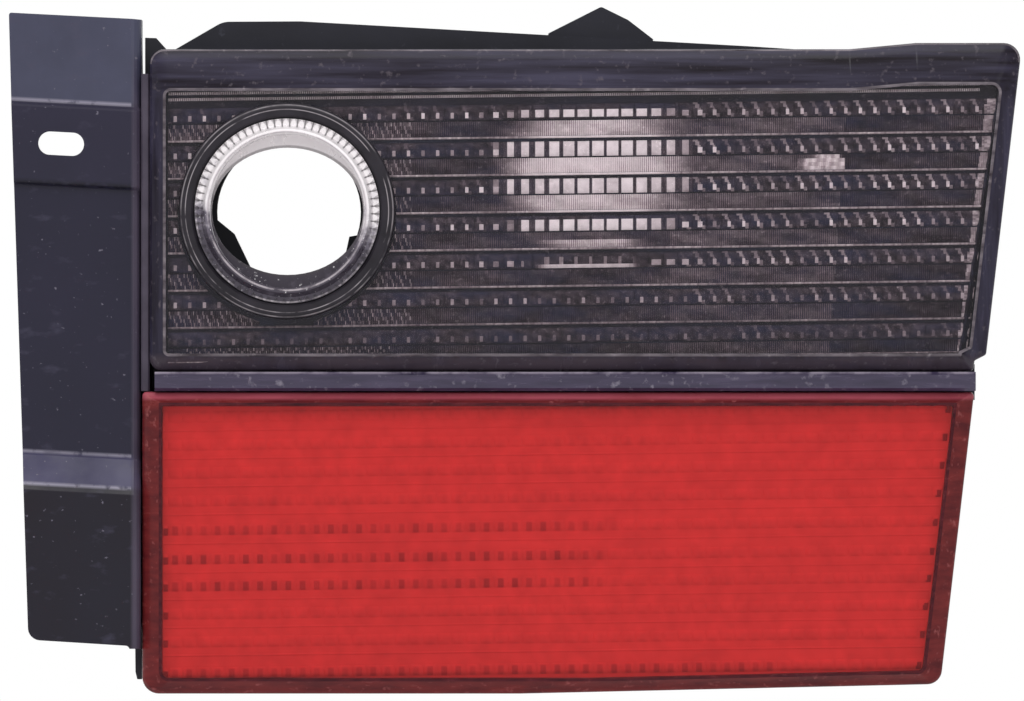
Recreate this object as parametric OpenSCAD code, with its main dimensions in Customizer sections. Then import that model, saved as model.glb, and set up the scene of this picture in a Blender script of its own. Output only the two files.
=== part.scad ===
// Inner rear lamp for the boot lid of a saloon car: a smoked reversing lamp over a red fog lamp.
// X runs to the right, Z up, and Y back from the lens faces. The origin is on the lock axis.

/* [Lamp face] */
// From the lock axis to the left edge of the smoked lens
left_reach = 33; // [31:0.5:40]
// From the lock axis to the slanted right end, level with the top of the smoked lens
right_reach = 176.4; // [168:0.2:190]
// How far the right end leans in for each millimetre down
right_lean = 0.116; // [0.04:0.002:0.14]
// Top of the smoked lens above the lock axis
lens_top = 38.9; // [37:0.1:44]
// Height of the smoked lens
upper_h = 77.3; // [74:0.1:84]
// Height of the strip between the lenses
strip_h = 4.6; // [3.6:0.1:8]
// Height of the red lens
lower_h = 72.5; // [66:0.5:84]
// How far the red lens stands out past the smoked one on the left
lower_step = 1.8; // [0:0.1:1.9]
// How far the red lens stops short of the slanted end line
lower_short = 1.8; // [0:0.1:4]
// Rise of the bottom edge of the red lens towards its right end
bottom_rise = 2.3; // [1:0.1:4]
// Depth of the notch at the lower right corner of the smoked lens
notch_in = 2.8; // [1:0.1:4]
// Height of the low crown at the right of the top edge
crown_h = 1.5; // [0.5:0.1:2.5]

/* [Lenses] */
// Thickness of both lens mouldings
lens_wall = 2.5; // [2:0.1:3]
// Depth of the lens skirts from the face to their back edge
skirt_d = 13; // [11:0.5:16]
// Depth of the sloping shoulder round each face
shoulder_d = 2.6; // [1.5:0.1:4]
// Height of the plain sloping band along the top of the smoked lens
top_band = 9.4; // [6:0.1:11]
// Width of one optic cell
cell_w = 3.5; // [3:0.1:6]
// Height of the optic cells in the smoked lens
cell_h = 3.6; // [2:0.1:5]
// Relief of the optic cells
cell_relief = 1.1; // [0.6:0.1:1.6]
// Number of optic rows in the smoked lens
row_count = 7; // [3:1:7]
// Pitch of the optic rows in the red lens
lower_row_pitch = 6.9; // [6:0.05:10]

/* [Lock] */
// Radius of the bore of the silver collar
lock_r = 18.5; // [17:0.1:19]
// Outer radius of the silver collar
collar_r = 22.2; // [21.6:0.1:22.6]
// Length of the collar behind the lens face
collar_d = 12.3; // [8:0.1:20]
// How far the ridge of the collar stands in front of the lens face
collar_proud = 3; // [2.2:0.1:4]
// Wall of the lock tube round the collar
tube_wall = 1.8; // [1.4:0.1:2]
// Outer radius of the rubber seal
seal_r = 26; // [25.4:0.1:27]
// Height of the rubber seal in front of the lens
seal_t = 1.8; // [1:0.1:2]
// Half the width of the oval opening in the floor of the collar
oval_x = 18.2; // [17:0.1:18.3]
// Half the height of the oval opening
oval_z = 15.3; // [14.6:0.1:17]
// Radius of the keyed hole in the rear wall
rear_hole_r = 17.4; // [16:0.1:17.6]

/* [Housing] */
// From the lens faces to the outside of the rear wall
body_d = 50; // [48:0.5:56]
// Thickness of the housing walls
wall = 2.5; // [2:0.1:3]
// Thickness of the rim that carries the lenses
rim_t = 4; // [3:0.1:6]
// Height of the swelling above the top of the smoked lens
swell_h = 6.9; // [4:0.1:10]
// Depth of the gasket on the rear wall
gasket_d = 4; // [3:0.5:6]
// Width of the gasket
gasket_w = 6; // [4:0.5:6.5]

/* [Side plate] */
// Thickness of the pressed sheet
sheet_t = 1.5; // [1:0.1:2]
// From the lock axis to the top left corner of the plate
plate_reach = 67; // [60:0.5:76]
// Height of the plate's top edge above the lock axis
plate_top = 46.2; // [43:0.1:54]
// Height of the plate
plate_h = 150.3; // [140:0.1:156]
// Outer radius of the fold between plate and web
fold_r = 2.5; // [2.2:0.1:4]
// Length of the slot, end to end
slot_l = 11; // [8:0.1:14]
// Width of the slot
slot_w = 5.6; // [4:0.1:7]
// Depth of the web behind the plate's pad
web_d = 34; // [31:0.5:38]

/* [Bulbs] */
// From the lock axis to the reversing bulb
reverse_x = 74; // [72:0.5:80]
// From the lock axis to the fog bulb
fog_x = 62; // [55:0.5:75]
// Radius of the bulb glass
glass_r = 13.25; // [12:0.05:13.4]
// Radius of the bulb bases
base_r = 7.6; // [7:0.1:7.8]
// Focal length of the reflector bowls
focal = 18; // [16:0.5:20]

/* [Studs] */
// From the left edge of the smoked lens to the studs on that side
stud_in_left = 16; // [15:0.5:18]
// From the right end of the top edge to the studs on that side
stud_in_right = 41.4; // [38:0.2:46]
// From the top of the smoked lens down to the upper studs
stud_in_top = 16.9; // [16:0.1:20]
// From the bottom of the red lens up to the lower studs
stud_in_bottom = 19.9; // [18:0.1:24]
// Radius of the studs
stud_r = 2.5; // [2:0.1:3]
// Length of the studs behind their seals
stud_l = 18; // [12:1:26]

/* [Hidden] */
$fn = 64;

// Clearances
fit = 0.2;
slide = 0.3;
bite = 0.4;

// Heights of the face, from the top down
upper_bottom = lens_top - upper_h;
strip_top = upper_bottom - fit;
strip_bottom = strip_top - strip_h;
strip_mid = (strip_top + strip_bottom) / 2;
lower_top = strip_bottom - fit;
lower_bottom = lower_top - lower_h;
lower_left = left_reach + lower_step;

// Depths, from the lens faces back
bead_d = 0.8;
rim_y = skirt_d + bead_d;
rim_back = rim_y + rim_t;
spigot_y = 8;
inner_y = body_d - wall;

function end_x(z) = right_reach - right_lean * (lens_top - z);

// Outlines of the two lenses, anticlockwise as seen from the front
notch_z = upper_bottom + 2.4;
notch_rise = 1.5;
crown_start_in = 41.4;
crown_full_in = 25.4;
crown_start = right_reach - crown_start_in;
crown_full = right_reach - crown_full_in;
upper_outline = [
    [-left_reach, upper_bottom],
    [end_x(notch_z) - notch_in, upper_bottom],
    [end_x(notch_z) - notch_in, notch_z],
    [end_x(notch_z + notch_rise), notch_z + notch_rise],
    [end_x(lens_top + crown_h), lens_top + crown_h],
    [crown_full, lens_top + crown_h],
    [crown_start, lens_top],
    [-left_reach, lens_top]];
upper_radii = [3, 1, 1, 1, 4, 5, 5, 3.4];
upper_face_in = [3.5, 3, 3, 5, top_band, top_band, top_band, 3.2];
upper_shoulder_in = [1, 1, 1, 1.2, 2.2, 2.2, 2.2, 1];

// Line that the inside of the smoked lens follows, without the notch
upper_inner = [for (i = [0, 1, 4, 5, 6, 7]) upper_outline[i]];
upper_inner_radii = [for (i = [0, 1, 4, 5, 6, 7]) upper_radii[i]];
upper_inner_face_in = [for (i = [0, 3, 4, 5, 6, 7]) upper_face_in[i]];
upper_inner_shoulder_in = [for (i = [0, 3, 4, 5, 6, 7]) upper_shoulder_in[i]];

bottom_bend_x = 56;
lower_outline = [
    [-lower_left, lower_bottom],
    [bottom_bend_x, lower_bottom],
    [end_x(lower_bottom + bottom_rise) - lower_short, lower_bottom + bottom_rise],
    [end_x(lower_top) - lower_short, lower_top],
    [-lower_left, lower_top]];
lower_radii = [4, 30, 3.6, 1, 1];
lower_face_in = [4, 4, 5, 2.6, 5];
lower_shoulder_in = [1, 1, 1.2, 0.8, 1];

// Outline of the housing behind the rim
shell_in = 3;
swell_x = 3;
swell_left = -15.6;
swell_end = 111;
swell_end_h = 0.9;
shell_left = left_reach - 0.5;
shell_bottom = lower_bottom + shell_in;
shell_outline = [
    [-shell_left, shell_bottom],
    [bottom_bend_x, shell_bottom],
    [end_x(shell_bottom) - 2 * shell_in, shell_bottom + bottom_rise],
    [end_x(lens_top) - 1.7 * shell_in, lens_top - shell_in],
    [swell_end, lens_top + swell_end_h],
    [swell_x, lens_top + swell_h],
    [swell_left, lens_top + swell_h - 0.1],
    [-shell_left, lens_top - shell_in]];
shell_radii = [6, 30, 6, 8, 12, 20, 6, 5];

// Lock tube
tube_bore = collar_r + fit;
tube_r = tube_bore + tube_wall;
tube_inner_r = lock_r + 1.5;
lens_hole_r = tube_r + slide;
collar_y = collar_d;
collar_floor_t = 1.2;
rear_ring_d = 4;

// Divider between the two chambers
divider_t = 3;

// Holders and bulbs
reverse_lift = 2.75;
reverse_at = [reverse_x, (lens_top + upper_bottom) / 2 + reverse_lift];
fog_at = [fog_x, (lower_top + lower_bottom) / 2];
light_in = 24.6;
light_y = body_d - light_in;
neck_l = 4.6;
base_y = light_y + glass_r + neck_l;
base_l = 16.5;
neck_r = base_r - 1;
neck_sunk = 3;
glass_t = 0.8;
tip_l = 2.5;
pin_y = base_y + 12;
pin_r = 1;
pin_out = 1.3;
base_end = base_y + base_l;
tip_end = base_end + tip_l;
live_t = 0.6;
bore_end = tip_end + live_t;
plug_r = glass_r + 0.6;
opening_r = plug_r + slide;
ring_seal_d = 1.5;
flange_y = body_d + ring_seal_d;
flange_t = 2.5;
flange_r = plug_r + 4.2;
barrel_r = base_r + 4.2;
barrel_end = bore_end + 5;
lug_out = 2.2;
lug_t = 2.2;
socket_d = 7.5;
earth_z = base_r + 0.45;
blade_w = 2.8;
blade_t = 0.8;
socket_w = 8.4;
socket_h = 15;

// Reflectors
bowl_t = 1.8;
apex_y = light_y + focal;
reflector_y = 13.9;
bowl_hole_r = glass_r + 1.2;
bowl_r = sqrt((apex_y - reflector_y) * 4 * focal);
reflector_gap = 0.4;
upper_pan_in = 45.4;
lower_pan_in = 30.4;
spigot_wall = 1.8;
spigot_in = lens_wall + slide + spigot_wall;
upper_pan = [tube_r + reflector_gap, upper_bottom + spigot_in + reflector_gap,
    right_reach - upper_pan_in, lens_top - spigot_in - reflector_gap];
lower_pan = [-lower_left + spigot_in + 3, lower_bottom + spigot_in + reflector_gap + bottom_rise,
    right_reach - lower_pan_in, lower_top - spigot_in - reflector_gap];
pan_screw_in = 5;
pan_screws = [
    [upper_pan[2] - pan_screw_in, reverse_at[1] + 9],
    [upper_pan[2] - pan_screw_in, reverse_at[1] - 22],
    [lower_pan[0] + pan_screw_in, fog_at[1]],
    [lower_pan[2] - pan_screw_in, fog_at[1]]];
pan_boss_r = 3.6;
screw_r = 1.5;
screw_grip = 5;

// Studs, in the plane of the rear wall
stud_left = -left_reach + stud_in_left;
stud_right = right_reach - stud_in_right;
stud_low = lower_bottom + stud_in_bottom;
stud_high = lens_top - stud_in_top;
stud_pad = 1.5;
stud_seal_t = 1.5;
stud_seal_r = stud_r + 3;
stud_seat = body_d + stud_pad + stud_seal_t;
shank_r = stud_r + 0.3;
stud_places = [for (x = [stud_left, stud_right], z = [stud_low, stud_high]) [x, z]];

// Side plate: height and depth of its steps along the fold, from the top down
web_x = -lower_left - slide;
cross_slope = tan(3);
left_taper = 0.0325;
pad_y = 4;
sheet_y = 5.4;
foot_y = 1;
lean_y = 10;
pad_top = 24.9;
pad_bottom = 4.8;
pad_step = 0.8;
ramp_top = -59.8;
ramp_bottom = -68.3;
plate_bottom = plate_top - plate_h;
crease_r = 0.6;
web_low = lower_bottom + 3.3;
steps_profile = [
    [plate_top, lean_y],
    [pad_top, sheet_y],
    [pad_top - pad_step, pad_y],
    [pad_bottom + pad_step, pad_y],
    [pad_bottom, sheet_y],
    [ramp_top, sheet_y],
    [ramp_bottom, foot_y],
    [web_low - 2, foot_y]];
slot_at = [-54.3, 16.2];
web_back = pad_y + web_d;
bracket_screw_y = web_back - 7;
bracket_screw_z = [24, -36, -94];
bracket_pad_r = 6;

// Hook on the top of the swelling
swell_slope = (swell_h - swell_end_h) / (swell_end - swell_x);
hook_x0 = 61.9;
hook_peak = [75.5, 10.5];
hook_bend = [82, 7.3];
hook_x1 = 88.7;
hook_y = body_d - 28;
hook_d = 13;
hook_tongue_d = 11;
hook_t = 1.8;

// Vents
vent_out = 38;
vent_in = 14.9;
vent_drop = 21.1;
vent_places = [[reverse_x + vent_out, lens_top - vent_in], [0, strip_mid - vent_drop]];
vent_r = 3.2;
vent_l = 7;
cap_wall = 1.6;

// Straight section between two depths, drawn as seen from the front
module slab(y0, y1) {
    translate([0, y1, 0])
        rotate([90, 0, 0])
            linear_extrude(height = y1 - y0)
                children();
}

module rod(y0, y1, r) {
    translate([0, y1, 0])
        rotate([90, 0, 0])
            cylinder(h = y1 - y0, r = r);
}

// Solid of revolution about a Y axis from points given as radius and depth
module turned(points) {
    rotate([-90, 0, 0])
        rotate_extrude()
            polygon([for (p = points) [p[0], p[1]]]);
}

module at(place) {
    translate([place[0], 0, place[1]])
        children();
}

function unit(v) = v / norm(v);

function cross2(a, b) = a[0] * b[1] - a[1] * b[0];

// Points of one rounded corner of an outline
function corner_arc(a, b, c, r, steps) =
    let (u = unit(a - b), w = unit(c - b), half = acos(u * w) / 2,
        centre = b + unit(u + w) * r / sin(half),
        start = b + u * r / tan(half) - centre,
        from = atan2(start[1], start[0]),
        sweep = (180 - 2 * half) * sign(cross2(b - a, c - b)))
    [for (i = [0 : steps]) centre + r * [cos(from + sweep * i / steps), sin(from + sweep * i / steps)]];

// A closed outline with each corner rounded to its own radius
function rounded(corners, radii, steps = 6) =
    let (n = len(corners))
    [for (i = [0 : n - 1])
        each corner_arc(corners[(i + n - 1) % n], corners[i], corners[(i + 1) % n], radii[i], steps)];

function inward(a, b) = unit([a[1] - b[1], b[0] - a[0]]);

// Corner where two edges meet after each has moved inward by its own distance
function moved_corner(a, b, c, d1, d2) =
    let (p = b + inward(a, b) * d1, q = b + inward(b, c) * d2)
    p + (b - a) * cross2(q - p, c - b) / cross2(b - a, c - b);

// An outline with every edge moved inward, edge i running from corner i to the next
function inset(corners, d) =
    let (n = len(corners))
    [for (i = [0 : n - 1])
        moved_corner(corners[(i + n - 1) % n], corners[i], corners[(i + 1) % n],
            d[(i + n - 1) % n], d[i])];

function all_edges(corners, d) = [for (c = corners) d];

function tighter(radii, d) = [for (r = radii) max(0.3, r - d)];

function more(list, d) = [for (v = list) v + d];

// Rounded outline moved inward by one distance all round
function step_in(corners, radii, d) =
    rounded(inset(corners, all_edges(corners, d)), tighter(radii, d));

function ring(corners, radii, d, y) =
    [for (p = rounded(inset(corners, d), radii)) [p[0], y, p[1]]];

// Skin through outlines that follow each other from front to back
module loft(rings) {
    n = len(rings[0]);
    m = len(rings);
    polyhedron(
        points = [for (r = rings) each r],
        faces = concat(
            [[for (i = [n - 1 : -1 : 0]) i]],
            [[for (i = [0 : n - 1]) (m - 1) * n + i]],
            [for (k = [0 : m - 2], i = [0 : n - 1])
                [k * n + i, k * n + (i + 1) % n, (k + 1) * n + (i + 1) % n]],
            [for (k = [0 : m - 2], i = [0 : n - 1])
                [k * n + i, (k + 1) * n + (i + 1) % n, (k + 1) * n + i]]));
}

turn_d = 1.2;

// Solid with a sloping shoulder all round its face
module lens_block(outline, radii, face_in, shoulder_in) {
    back_in = all_edges(outline, 0);
    loft([
        ring(outline, tighter(radii, 1.5), face_in, 0),
        ring(outline, tighter(radii, 0.5), shoulder_in, shoulder_d),
        ring(outline, radii, back_in, shoulder_d + turn_d),
        ring(outline, radii, back_in, skirt_d)]);
}

// Space inside a lens, open at the back
module lens_hollow(outline, radii, face_in, shoulder_in) {
    inner_in = all_edges(outline, lens_wall);
    inner_r = tighter(radii, lens_wall);
    loft([
        ring(outline, tighter(radii, 2.1), more(face_in, 1.2), lens_wall - bite),
        ring(outline, tighter(radii, 2.5), more(shoulder_in, lens_wall - 0.6), shoulder_d + lens_wall),
        ring(outline, inner_r, inner_in, shoulder_d + lens_wall + turn_d),
        ring(outline, inner_r, inner_in, skirt_d + 1)]);
}

// Flat plate behind the face of a lens, which carries the optics
module lens_plate(outline, radii, face_in) {
    slab(lens_wall - 2 * bite, lens_wall)
        polygon(rounded(inset(outline, more(face_in, 0.2)), tighter(radii, 1.5)));
}

// Row of crowned cells standing on the back of a lens
module optic_row(x0, x1, z0, height, faces) {
    cells = floor((x1 - x0) / cell_w);
    valley_y = bite + 0.1;
    crown = [for (i = [0 : cells - 1], k = [1 : faces])
        [x0 + (i + (k - 0.5) / faces) * cell_w, valley_y + cell_relief * sin(180 * (k - 0.5) / faces)]];
    valley = [for (i = [0 : cells]) [x0 + i * cell_w, valley_y]];
    teeth = [for (i = [0 : cells - 1])
        each concat([valley[i]], [for (k = [0 : faces - 1]) crown[i * faces + k]])];
    translate([0, lens_wall - bite, z0])
        linear_extrude(height = height)
            polygon(concat([[x0, 0]], teeth, [valley[cells], [valley[cells][0], 0]]));
}

ledge_h = 0.9;

// Thin ledge with a sharp lower edge that closes each fluted band
module ledge(x0, x1, z) {
    translate([x0, 0, 0])
        rotate([90, 0, 90])
            linear_extrude(height = x1 - x0)
                polygon([
                    [lens_wall - bite, z],
                    [lens_wall + cell_relief, z],
                    [lens_wall, z + ledge_h],
                    [lens_wall - bite, z + ledge_h]]);
}

upper_row_x0 = -left_reach + upper_face_in[7] + 1.5;
function upper_row_x1(z) = end_x(z) - upper_face_in[3] - 2.5;
first_row_in = 5.5;
last_row_in = 8.7;
first_row_z = lens_top - top_band - first_row_in;
row_pitch = (first_row_z - upper_bottom - last_row_in) / (row_count - 1);
lens_collar_w = 2;
ledge_gap = 0.6;
clear_r = lens_hole_r + lens_collar_w + 1;

// Half the width that the lock hole and its collar take from a row between two heights
function hole_half(z0, z1) =
    let (near = z0 * z1 < 0 ? 0 : min(abs(z0), abs(z1)))
    near < clear_r ? sqrt(clear_r * clear_r - near * near) : 0;

// The two stretches of a row, left and right of the lock hole
function stretches(x0, x1, z0, z1) =
    let (half = hole_half(z0, z1))
    [for (s = half == 0 ? [[x0, x1]] : [[x0, -half], [half, x1]]) if (s[1] - s[0] > cell_w) s];

module upper_optics() {
    for (i = [0 : row_count - 1]) {
        z0 = first_row_z - i * row_pitch - cell_h / 2;
        ledge_z = z0 + cell_h + ledge_gap;
        for (s = stretches(upper_row_x0, upper_row_x1(z0), z0, z0 + cell_h))
            optic_row(s[0], s[1], z0, cell_h, 3);
        for (s = stretches(upper_row_x0, upper_row_x1(z0), ledge_z, ledge_z + ledge_h))
            ledge(s[0], s[1], ledge_z);
    }
}

module upper_lens() {
    color([0.16, 0.15, 0.18, 0.85])
        difference() {
            union() {
                difference() {
                    lens_block(upper_outline, upper_radii, upper_face_in, upper_shoulder_in);
                    lens_hollow(upper_inner, upper_inner_radii, upper_inner_face_in,
                        upper_inner_shoulder_in);
                }
                lens_plate(upper_inner, upper_inner_radii, upper_inner_face_in);
                upper_optics();
                rod(lens_wall - bite, lens_wall + 1.5, lens_hole_r + lens_collar_w);
            }
            rod(-1, skirt_d, lens_hole_r);
        }
}

lower_row_x0 = -lower_left + lower_face_in[4] + 1.5;
function lower_row_x1(z) = end_x(z) - lower_short - lower_face_in[2] - 2.5;
lower_rows = floor((lower_h - lower_face_in[0] - lower_face_in[3] - bottom_rise - 4) / lower_row_pitch);
lower_cell_h = 2.4;

module lower_lens() {
    color([0.75, 0.08, 0.1, 0.9]) {
        difference() {
            lens_block(lower_outline, lower_radii, lower_face_in, lower_shoulder_in);
            lens_hollow(lower_outline, lower_radii, lower_face_in, lower_shoulder_in);
        }
        lens_plate(lower_outline, lower_radii, lower_face_in);
        for (i = [0 : lower_rows - 1]) {
            z = lower_top - lower_face_in[3] - 4 - i * lower_row_pitch;
            optic_row(lower_row_x0, lower_row_x1(z - lower_cell_h), z - lower_cell_h, lower_cell_h, 2);
        }
    }
}

strip_y = 1.4;
strip_face_t = 2.4;
stem_t = 2.2;
stem_sunk = 2;
strip_left = -left_reach + 1.2;
strip_right = end_x(strip_mid) - lower_short;

module divider_strip() {
    half = strip_h / 2;
    edge = 0.7;
    color([0.2, 0.22, 0.28])
        translate([strip_left, 0, strip_mid])
            rotate([90, 0, 90])
                linear_extrude(height = strip_right - strip_left)
                    polygon([
                        [strip_y + edge, -half], [strip_y, -half + edge],
                        [strip_y, half - edge], [strip_y + edge, half],
                        [strip_y + strip_face_t, half], [strip_y + strip_face_t, stem_t / 2],
                        [rim_y + stem_sunk, stem_t / 2], [rim_y + stem_sunk, -stem_t / 2],
                        [strip_y + strip_face_t, -stem_t / 2], [strip_y + strip_face_t, -half]]);
}

function half_side(sign_z) = [
    [-2 * left_reach, strip_mid + sign_z * divider_t / 2],
    [2 * right_reach, strip_mid + sign_z * divider_t / 2],
    [2 * right_reach, strip_mid + sign_z * 2 * upper_h],
    [-2 * left_reach, strip_mid + sign_z * 2 * upper_h]];

// Hollow of one chamber behind the rim
module chamber(sign_z) {
    slab(rim_back - 0.1, inner_y)
        intersection() {
            polygon(step_in(shell_outline, shell_radii, wall));
            polygon(half_side(sign_z));
        }
}

// Locating wall that stands inside a lens skirt
module spigot(outline, radii) {
    slab(spigot_y, rim_back)
        polygon(step_in(outline, radii, lens_wall + slide));
}

module spigot_hollow(outline, radii) {
    slab(spigot_y - 1, rim_back + 0.1)
        polygon(step_in(outline, radii, spigot_in));
}

// Keyed hole in the rear wall: a round hole with two lugs left standing
module keyed_hole() {
    lug_left = [[-rear_hole_r - 1, -1], [-rear_hole_r * 0.76, -rear_hole_r * 0.3],
        [-rear_hole_r * 0.49, -rear_hole_r * 0.86], [-rear_hole_r * 0.6, -rear_hole_r - 1],
        [-rear_hole_r - 1, -rear_hole_r - 1]];
    lug_right = [[rear_hole_r + 1, -rear_hole_r * 0.3], [rear_hole_r * 0.84, -rear_hole_r * 0.34],
        [rear_hole_r * 0.77, -rear_hole_r * 0.66], [rear_hole_r * 0.77, -rear_hole_r - 1],
        [rear_hole_r + 1, -rear_hole_r - 1]];
    slab(inner_y - rear_ring_d - 1, body_d + 1)
        difference() {
            circle(r = rear_hole_r);
            polygon(lug_left);
            polygon(lug_right);
        }
}

rib_t = 1.6;
rib_d = 2.5;
rib_foot_in = 19;

module rib(a, b) {
    along = unit(b - a);
    side = [-along[1], along[0]] * rib_t / 2;
    slab(body_d - bite, body_d + rib_d)
        polygon([a - side, b - side, b + side, a + side]);
}

module rear_ribs() {
    mid = strip_mid;
    foot_x = stud_left + rib_foot_in;
    rib([stud_left, stud_low], [stud_left, mid]);
    rib([stud_right, stud_low], [stud_right, stud_high]);
    rib([stud_left, mid], [stud_right, mid]);
    rib([foot_x, stud_low], [stud_right, stud_low]);
    rib([stud_left, stud_low], [foot_x, stud_low]);
    rib([reverse_at[0], mid], [reverse_at[0], reverse_at[1]]);
    rib([fog_at[0], stud_low], [fog_at[0], mid]);
    rib([rear_hole_r + 4, 8], [stud_right, 8]);
}

module housing() {
    moat_r = flange_r + 0.6;
    color([0.13, 0.13, 0.17])
        difference() {
            union() {
                difference() {
                    union() {
                        slab(rim_y, rim_back) {
                            polygon(rounded(upper_outline, upper_radii));
                            polygon(rounded(lower_outline, lower_radii));
                            translate([strip_left, lower_top - 2])
                                square([strip_right - strip_left, strip_h + 4]);
                            polygon([[web_x + 0.8, lens_top - 20], [-left_reach + 6, lens_top - 20],
                                [-left_reach + 4.3, lens_top - 0.4], [-left_reach + 1.4, lens_top + 2.8],
                                [web_x + 0.8, lens_top + 2.9]]);
                        }
                        spigot(upper_inner, upper_inner_radii);
                        spigot(lower_outline, lower_radii);
                        slab(rim_back - bite, body_d)
                            polygon(rounded(shell_outline, shell_radii));
                    }
                    spigot_hollow(upper_inner, upper_inner_radii);
                    spigot_hollow(lower_outline, lower_radii);
                    chamber(1);
                    chamber(-1);
                    translate([strip_left - 1, rim_y - 1, strip_mid - stem_t / 2 - fit / 2])
                        cube([strip_right - strip_left + 5, stem_sunk + 1 + fit, stem_t + fit]);
                }
                rod(0, inner_y + bite, tube_r);
                for (place = stud_places)
                    at(place)
                        rod(inner_y - 4, body_d + stud_pad, stud_r + 3.5);
                for (place = pan_screws)
                    at(place)
                        rod(reflector_y + bowl_t, inner_y + bite, pan_boss_r);
                for (place = [reverse_at, fog_at])
                    at(place)
                        rod(body_d - bite, body_d + rib_d, moat_r + 1.8);
                for (place = vent_places)
                    at(place)
                        rod(body_d - bite, body_d + vent_l, vent_r);
                rod(body_d - bite, body_d + rib_d, rear_hole_r + 4.5);
                rear_ribs();
                slab(body_d - bite, body_d + rib_d)
                    difference() {
                        polygon(rounded(shell_outline, shell_radii));
                        polygon(step_in(shell_outline, shell_radii, rib_t));
                    }
                for (z = bracket_screw_z)
                    translate([web_x, bracket_screw_y, z])
                        rotate([0, 90, 0])
                            cylinder(h = wall + lower_left + slide - shell_left, r = bracket_pad_r);
            }
            rod(-1, collar_y, tube_bore);
            rod(-1, inner_y - rear_ring_d, tube_inner_r);
            keyed_hole();
            rod(body_d, body_d + rib_d + 1, rear_hole_r + 2.7);
            for (place = [reverse_at, fog_at])
                at(place) {
                    rod(inner_y - 1, body_d + 1, opening_r);
                    rod(body_d, body_d + rib_d + 1, moat_r);
                    for (a = [0 : 120 : 240])
                        rotate([0, a + 60, 0])
                            translate([-3.6, inner_y - 1, 0])
                                cube([7.2, wall + 2, opening_r + lug_out]);
                }
            for (place = stud_places)
                at(place) {
                    rod(inner_y - 5, body_d + stud_pad + 1, shank_r + fit / 2);
                    rod(body_d + stud_pad, body_d + rib_d + 1, stud_seal_r + slide);
                }
            for (place = stud_places)
                at(place)
                    rod(inner_y - 5, inner_y - 1, stud_r + 1.6);
            for (place = pan_screws)
                at(place)
                    rod(reflector_y, reflector_y + 14, screw_r + fit / 2);
            for (place = vent_places)
                at(place)
                    rod(inner_y - 1, body_d + vent_l + 1, vent_r - 1.6);
            for (z = bracket_screw_z)
                translate([web_x - 1, bracket_screw_y, z])
                    rotate([0, 90, 0])
                        cylinder(h = 7, r = screw_r + fit / 2);
            on_swell()
                translate([0, 0, -8])
                    cylinder(h = 16, r = screw_r + fit / 2);
        }
}

// Silver collar of the lock hole, with radial ticks round its edge and an oval hole in its floor
module lock_collar() {
    ticks = 72;
    tick_in = 1.1;
    tick_y = -1.4;
    step_y = -0.7;
    hub_r = collar_r - tick_in - bite;
    color([0.82, 0.82, 0.84])
        difference() {
            union() {
                turned([
                    [lock_r, 0.6 - collar_proud], [lock_r + 0.6, -collar_proud],
                    [lock_r + 1.2, 0.1 - collar_proud], [hub_r, tick_y - 0.1],
                    [hub_r, step_y], [collar_r, step_y], [collar_r, collar_y], [0, collar_y],
                    [0, 0.6 - collar_proud]]);
                slab(tick_y, step_y + 0.1)
                    polygon([for (i = [0 : 4 * ticks - 1])
                        let (a = i * 90 / ticks, r = i % 4 < 2 ? collar_r - 0.05 : collar_r - tick_in)
                        [r * cos(a), r * sin(a)]]);
            }
            rod(-collar_proud - 1, collar_y - collar_floor_t, lock_r);
            slab(collar_y - collar_floor_t - 1, collar_y + 1)
                polygon([for (i = [0 : 59]) [oval_x * cos(6 * i), oval_z * sin(6 * i)]]);
        }
}

module lock_seal() {
    inner = tube_bore + 0.1;
    color([0.09, 0.09, 0.11])
        turned([
            [inner, 0], [inner, -seal_t + 0.5], [inner + 0.5, -seal_t],
            [seal_r - 1, -seal_t], [seal_r - 0.3, -seal_t + 0.3], [seal_r, -seal_t + 1], [seal_r, 0]]);
}

// Skin through L-shaped sections that follow the steps of the plate
function profile_points() =
    let (n = len(steps_profile))
    concat([steps_profile[0]],
        [for (i = [1 : n - 2])
            each corner_arc(steps_profile[i - 1], steps_profile[i], steps_profile[i + 1], crease_r, 2)],
        [steps_profile[n - 1]]);

function plate_left(z) = -plate_reach + left_taper * (plate_top - z);

function fold_arc(r, y, steps = 5) = [for (i = [0 : steps])
    [web_x - fold_r + r * sin(90 * i / steps), y + fold_r - r * cos(90 * i / steps)]];

function backward(list) = [for (i = [len(list) - 1 : -1 : 0]) list[i]];

// Section of plate and web, which slopes down to the right as the steps do
function plate_section(z, y) =
    [for (p = concat(
            [[plate_left(z) - 2, y]], fold_arc(fold_r, y), [[web_x, web_back], [web_x - sheet_t, web_back]],
            backward(fold_arc(fold_r - sheet_t, y)), [[plate_left(z) - 2, y + sheet_t]]))
        [p[0], p[1], z + cross_slope * (web_x - p[0])]];

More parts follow.
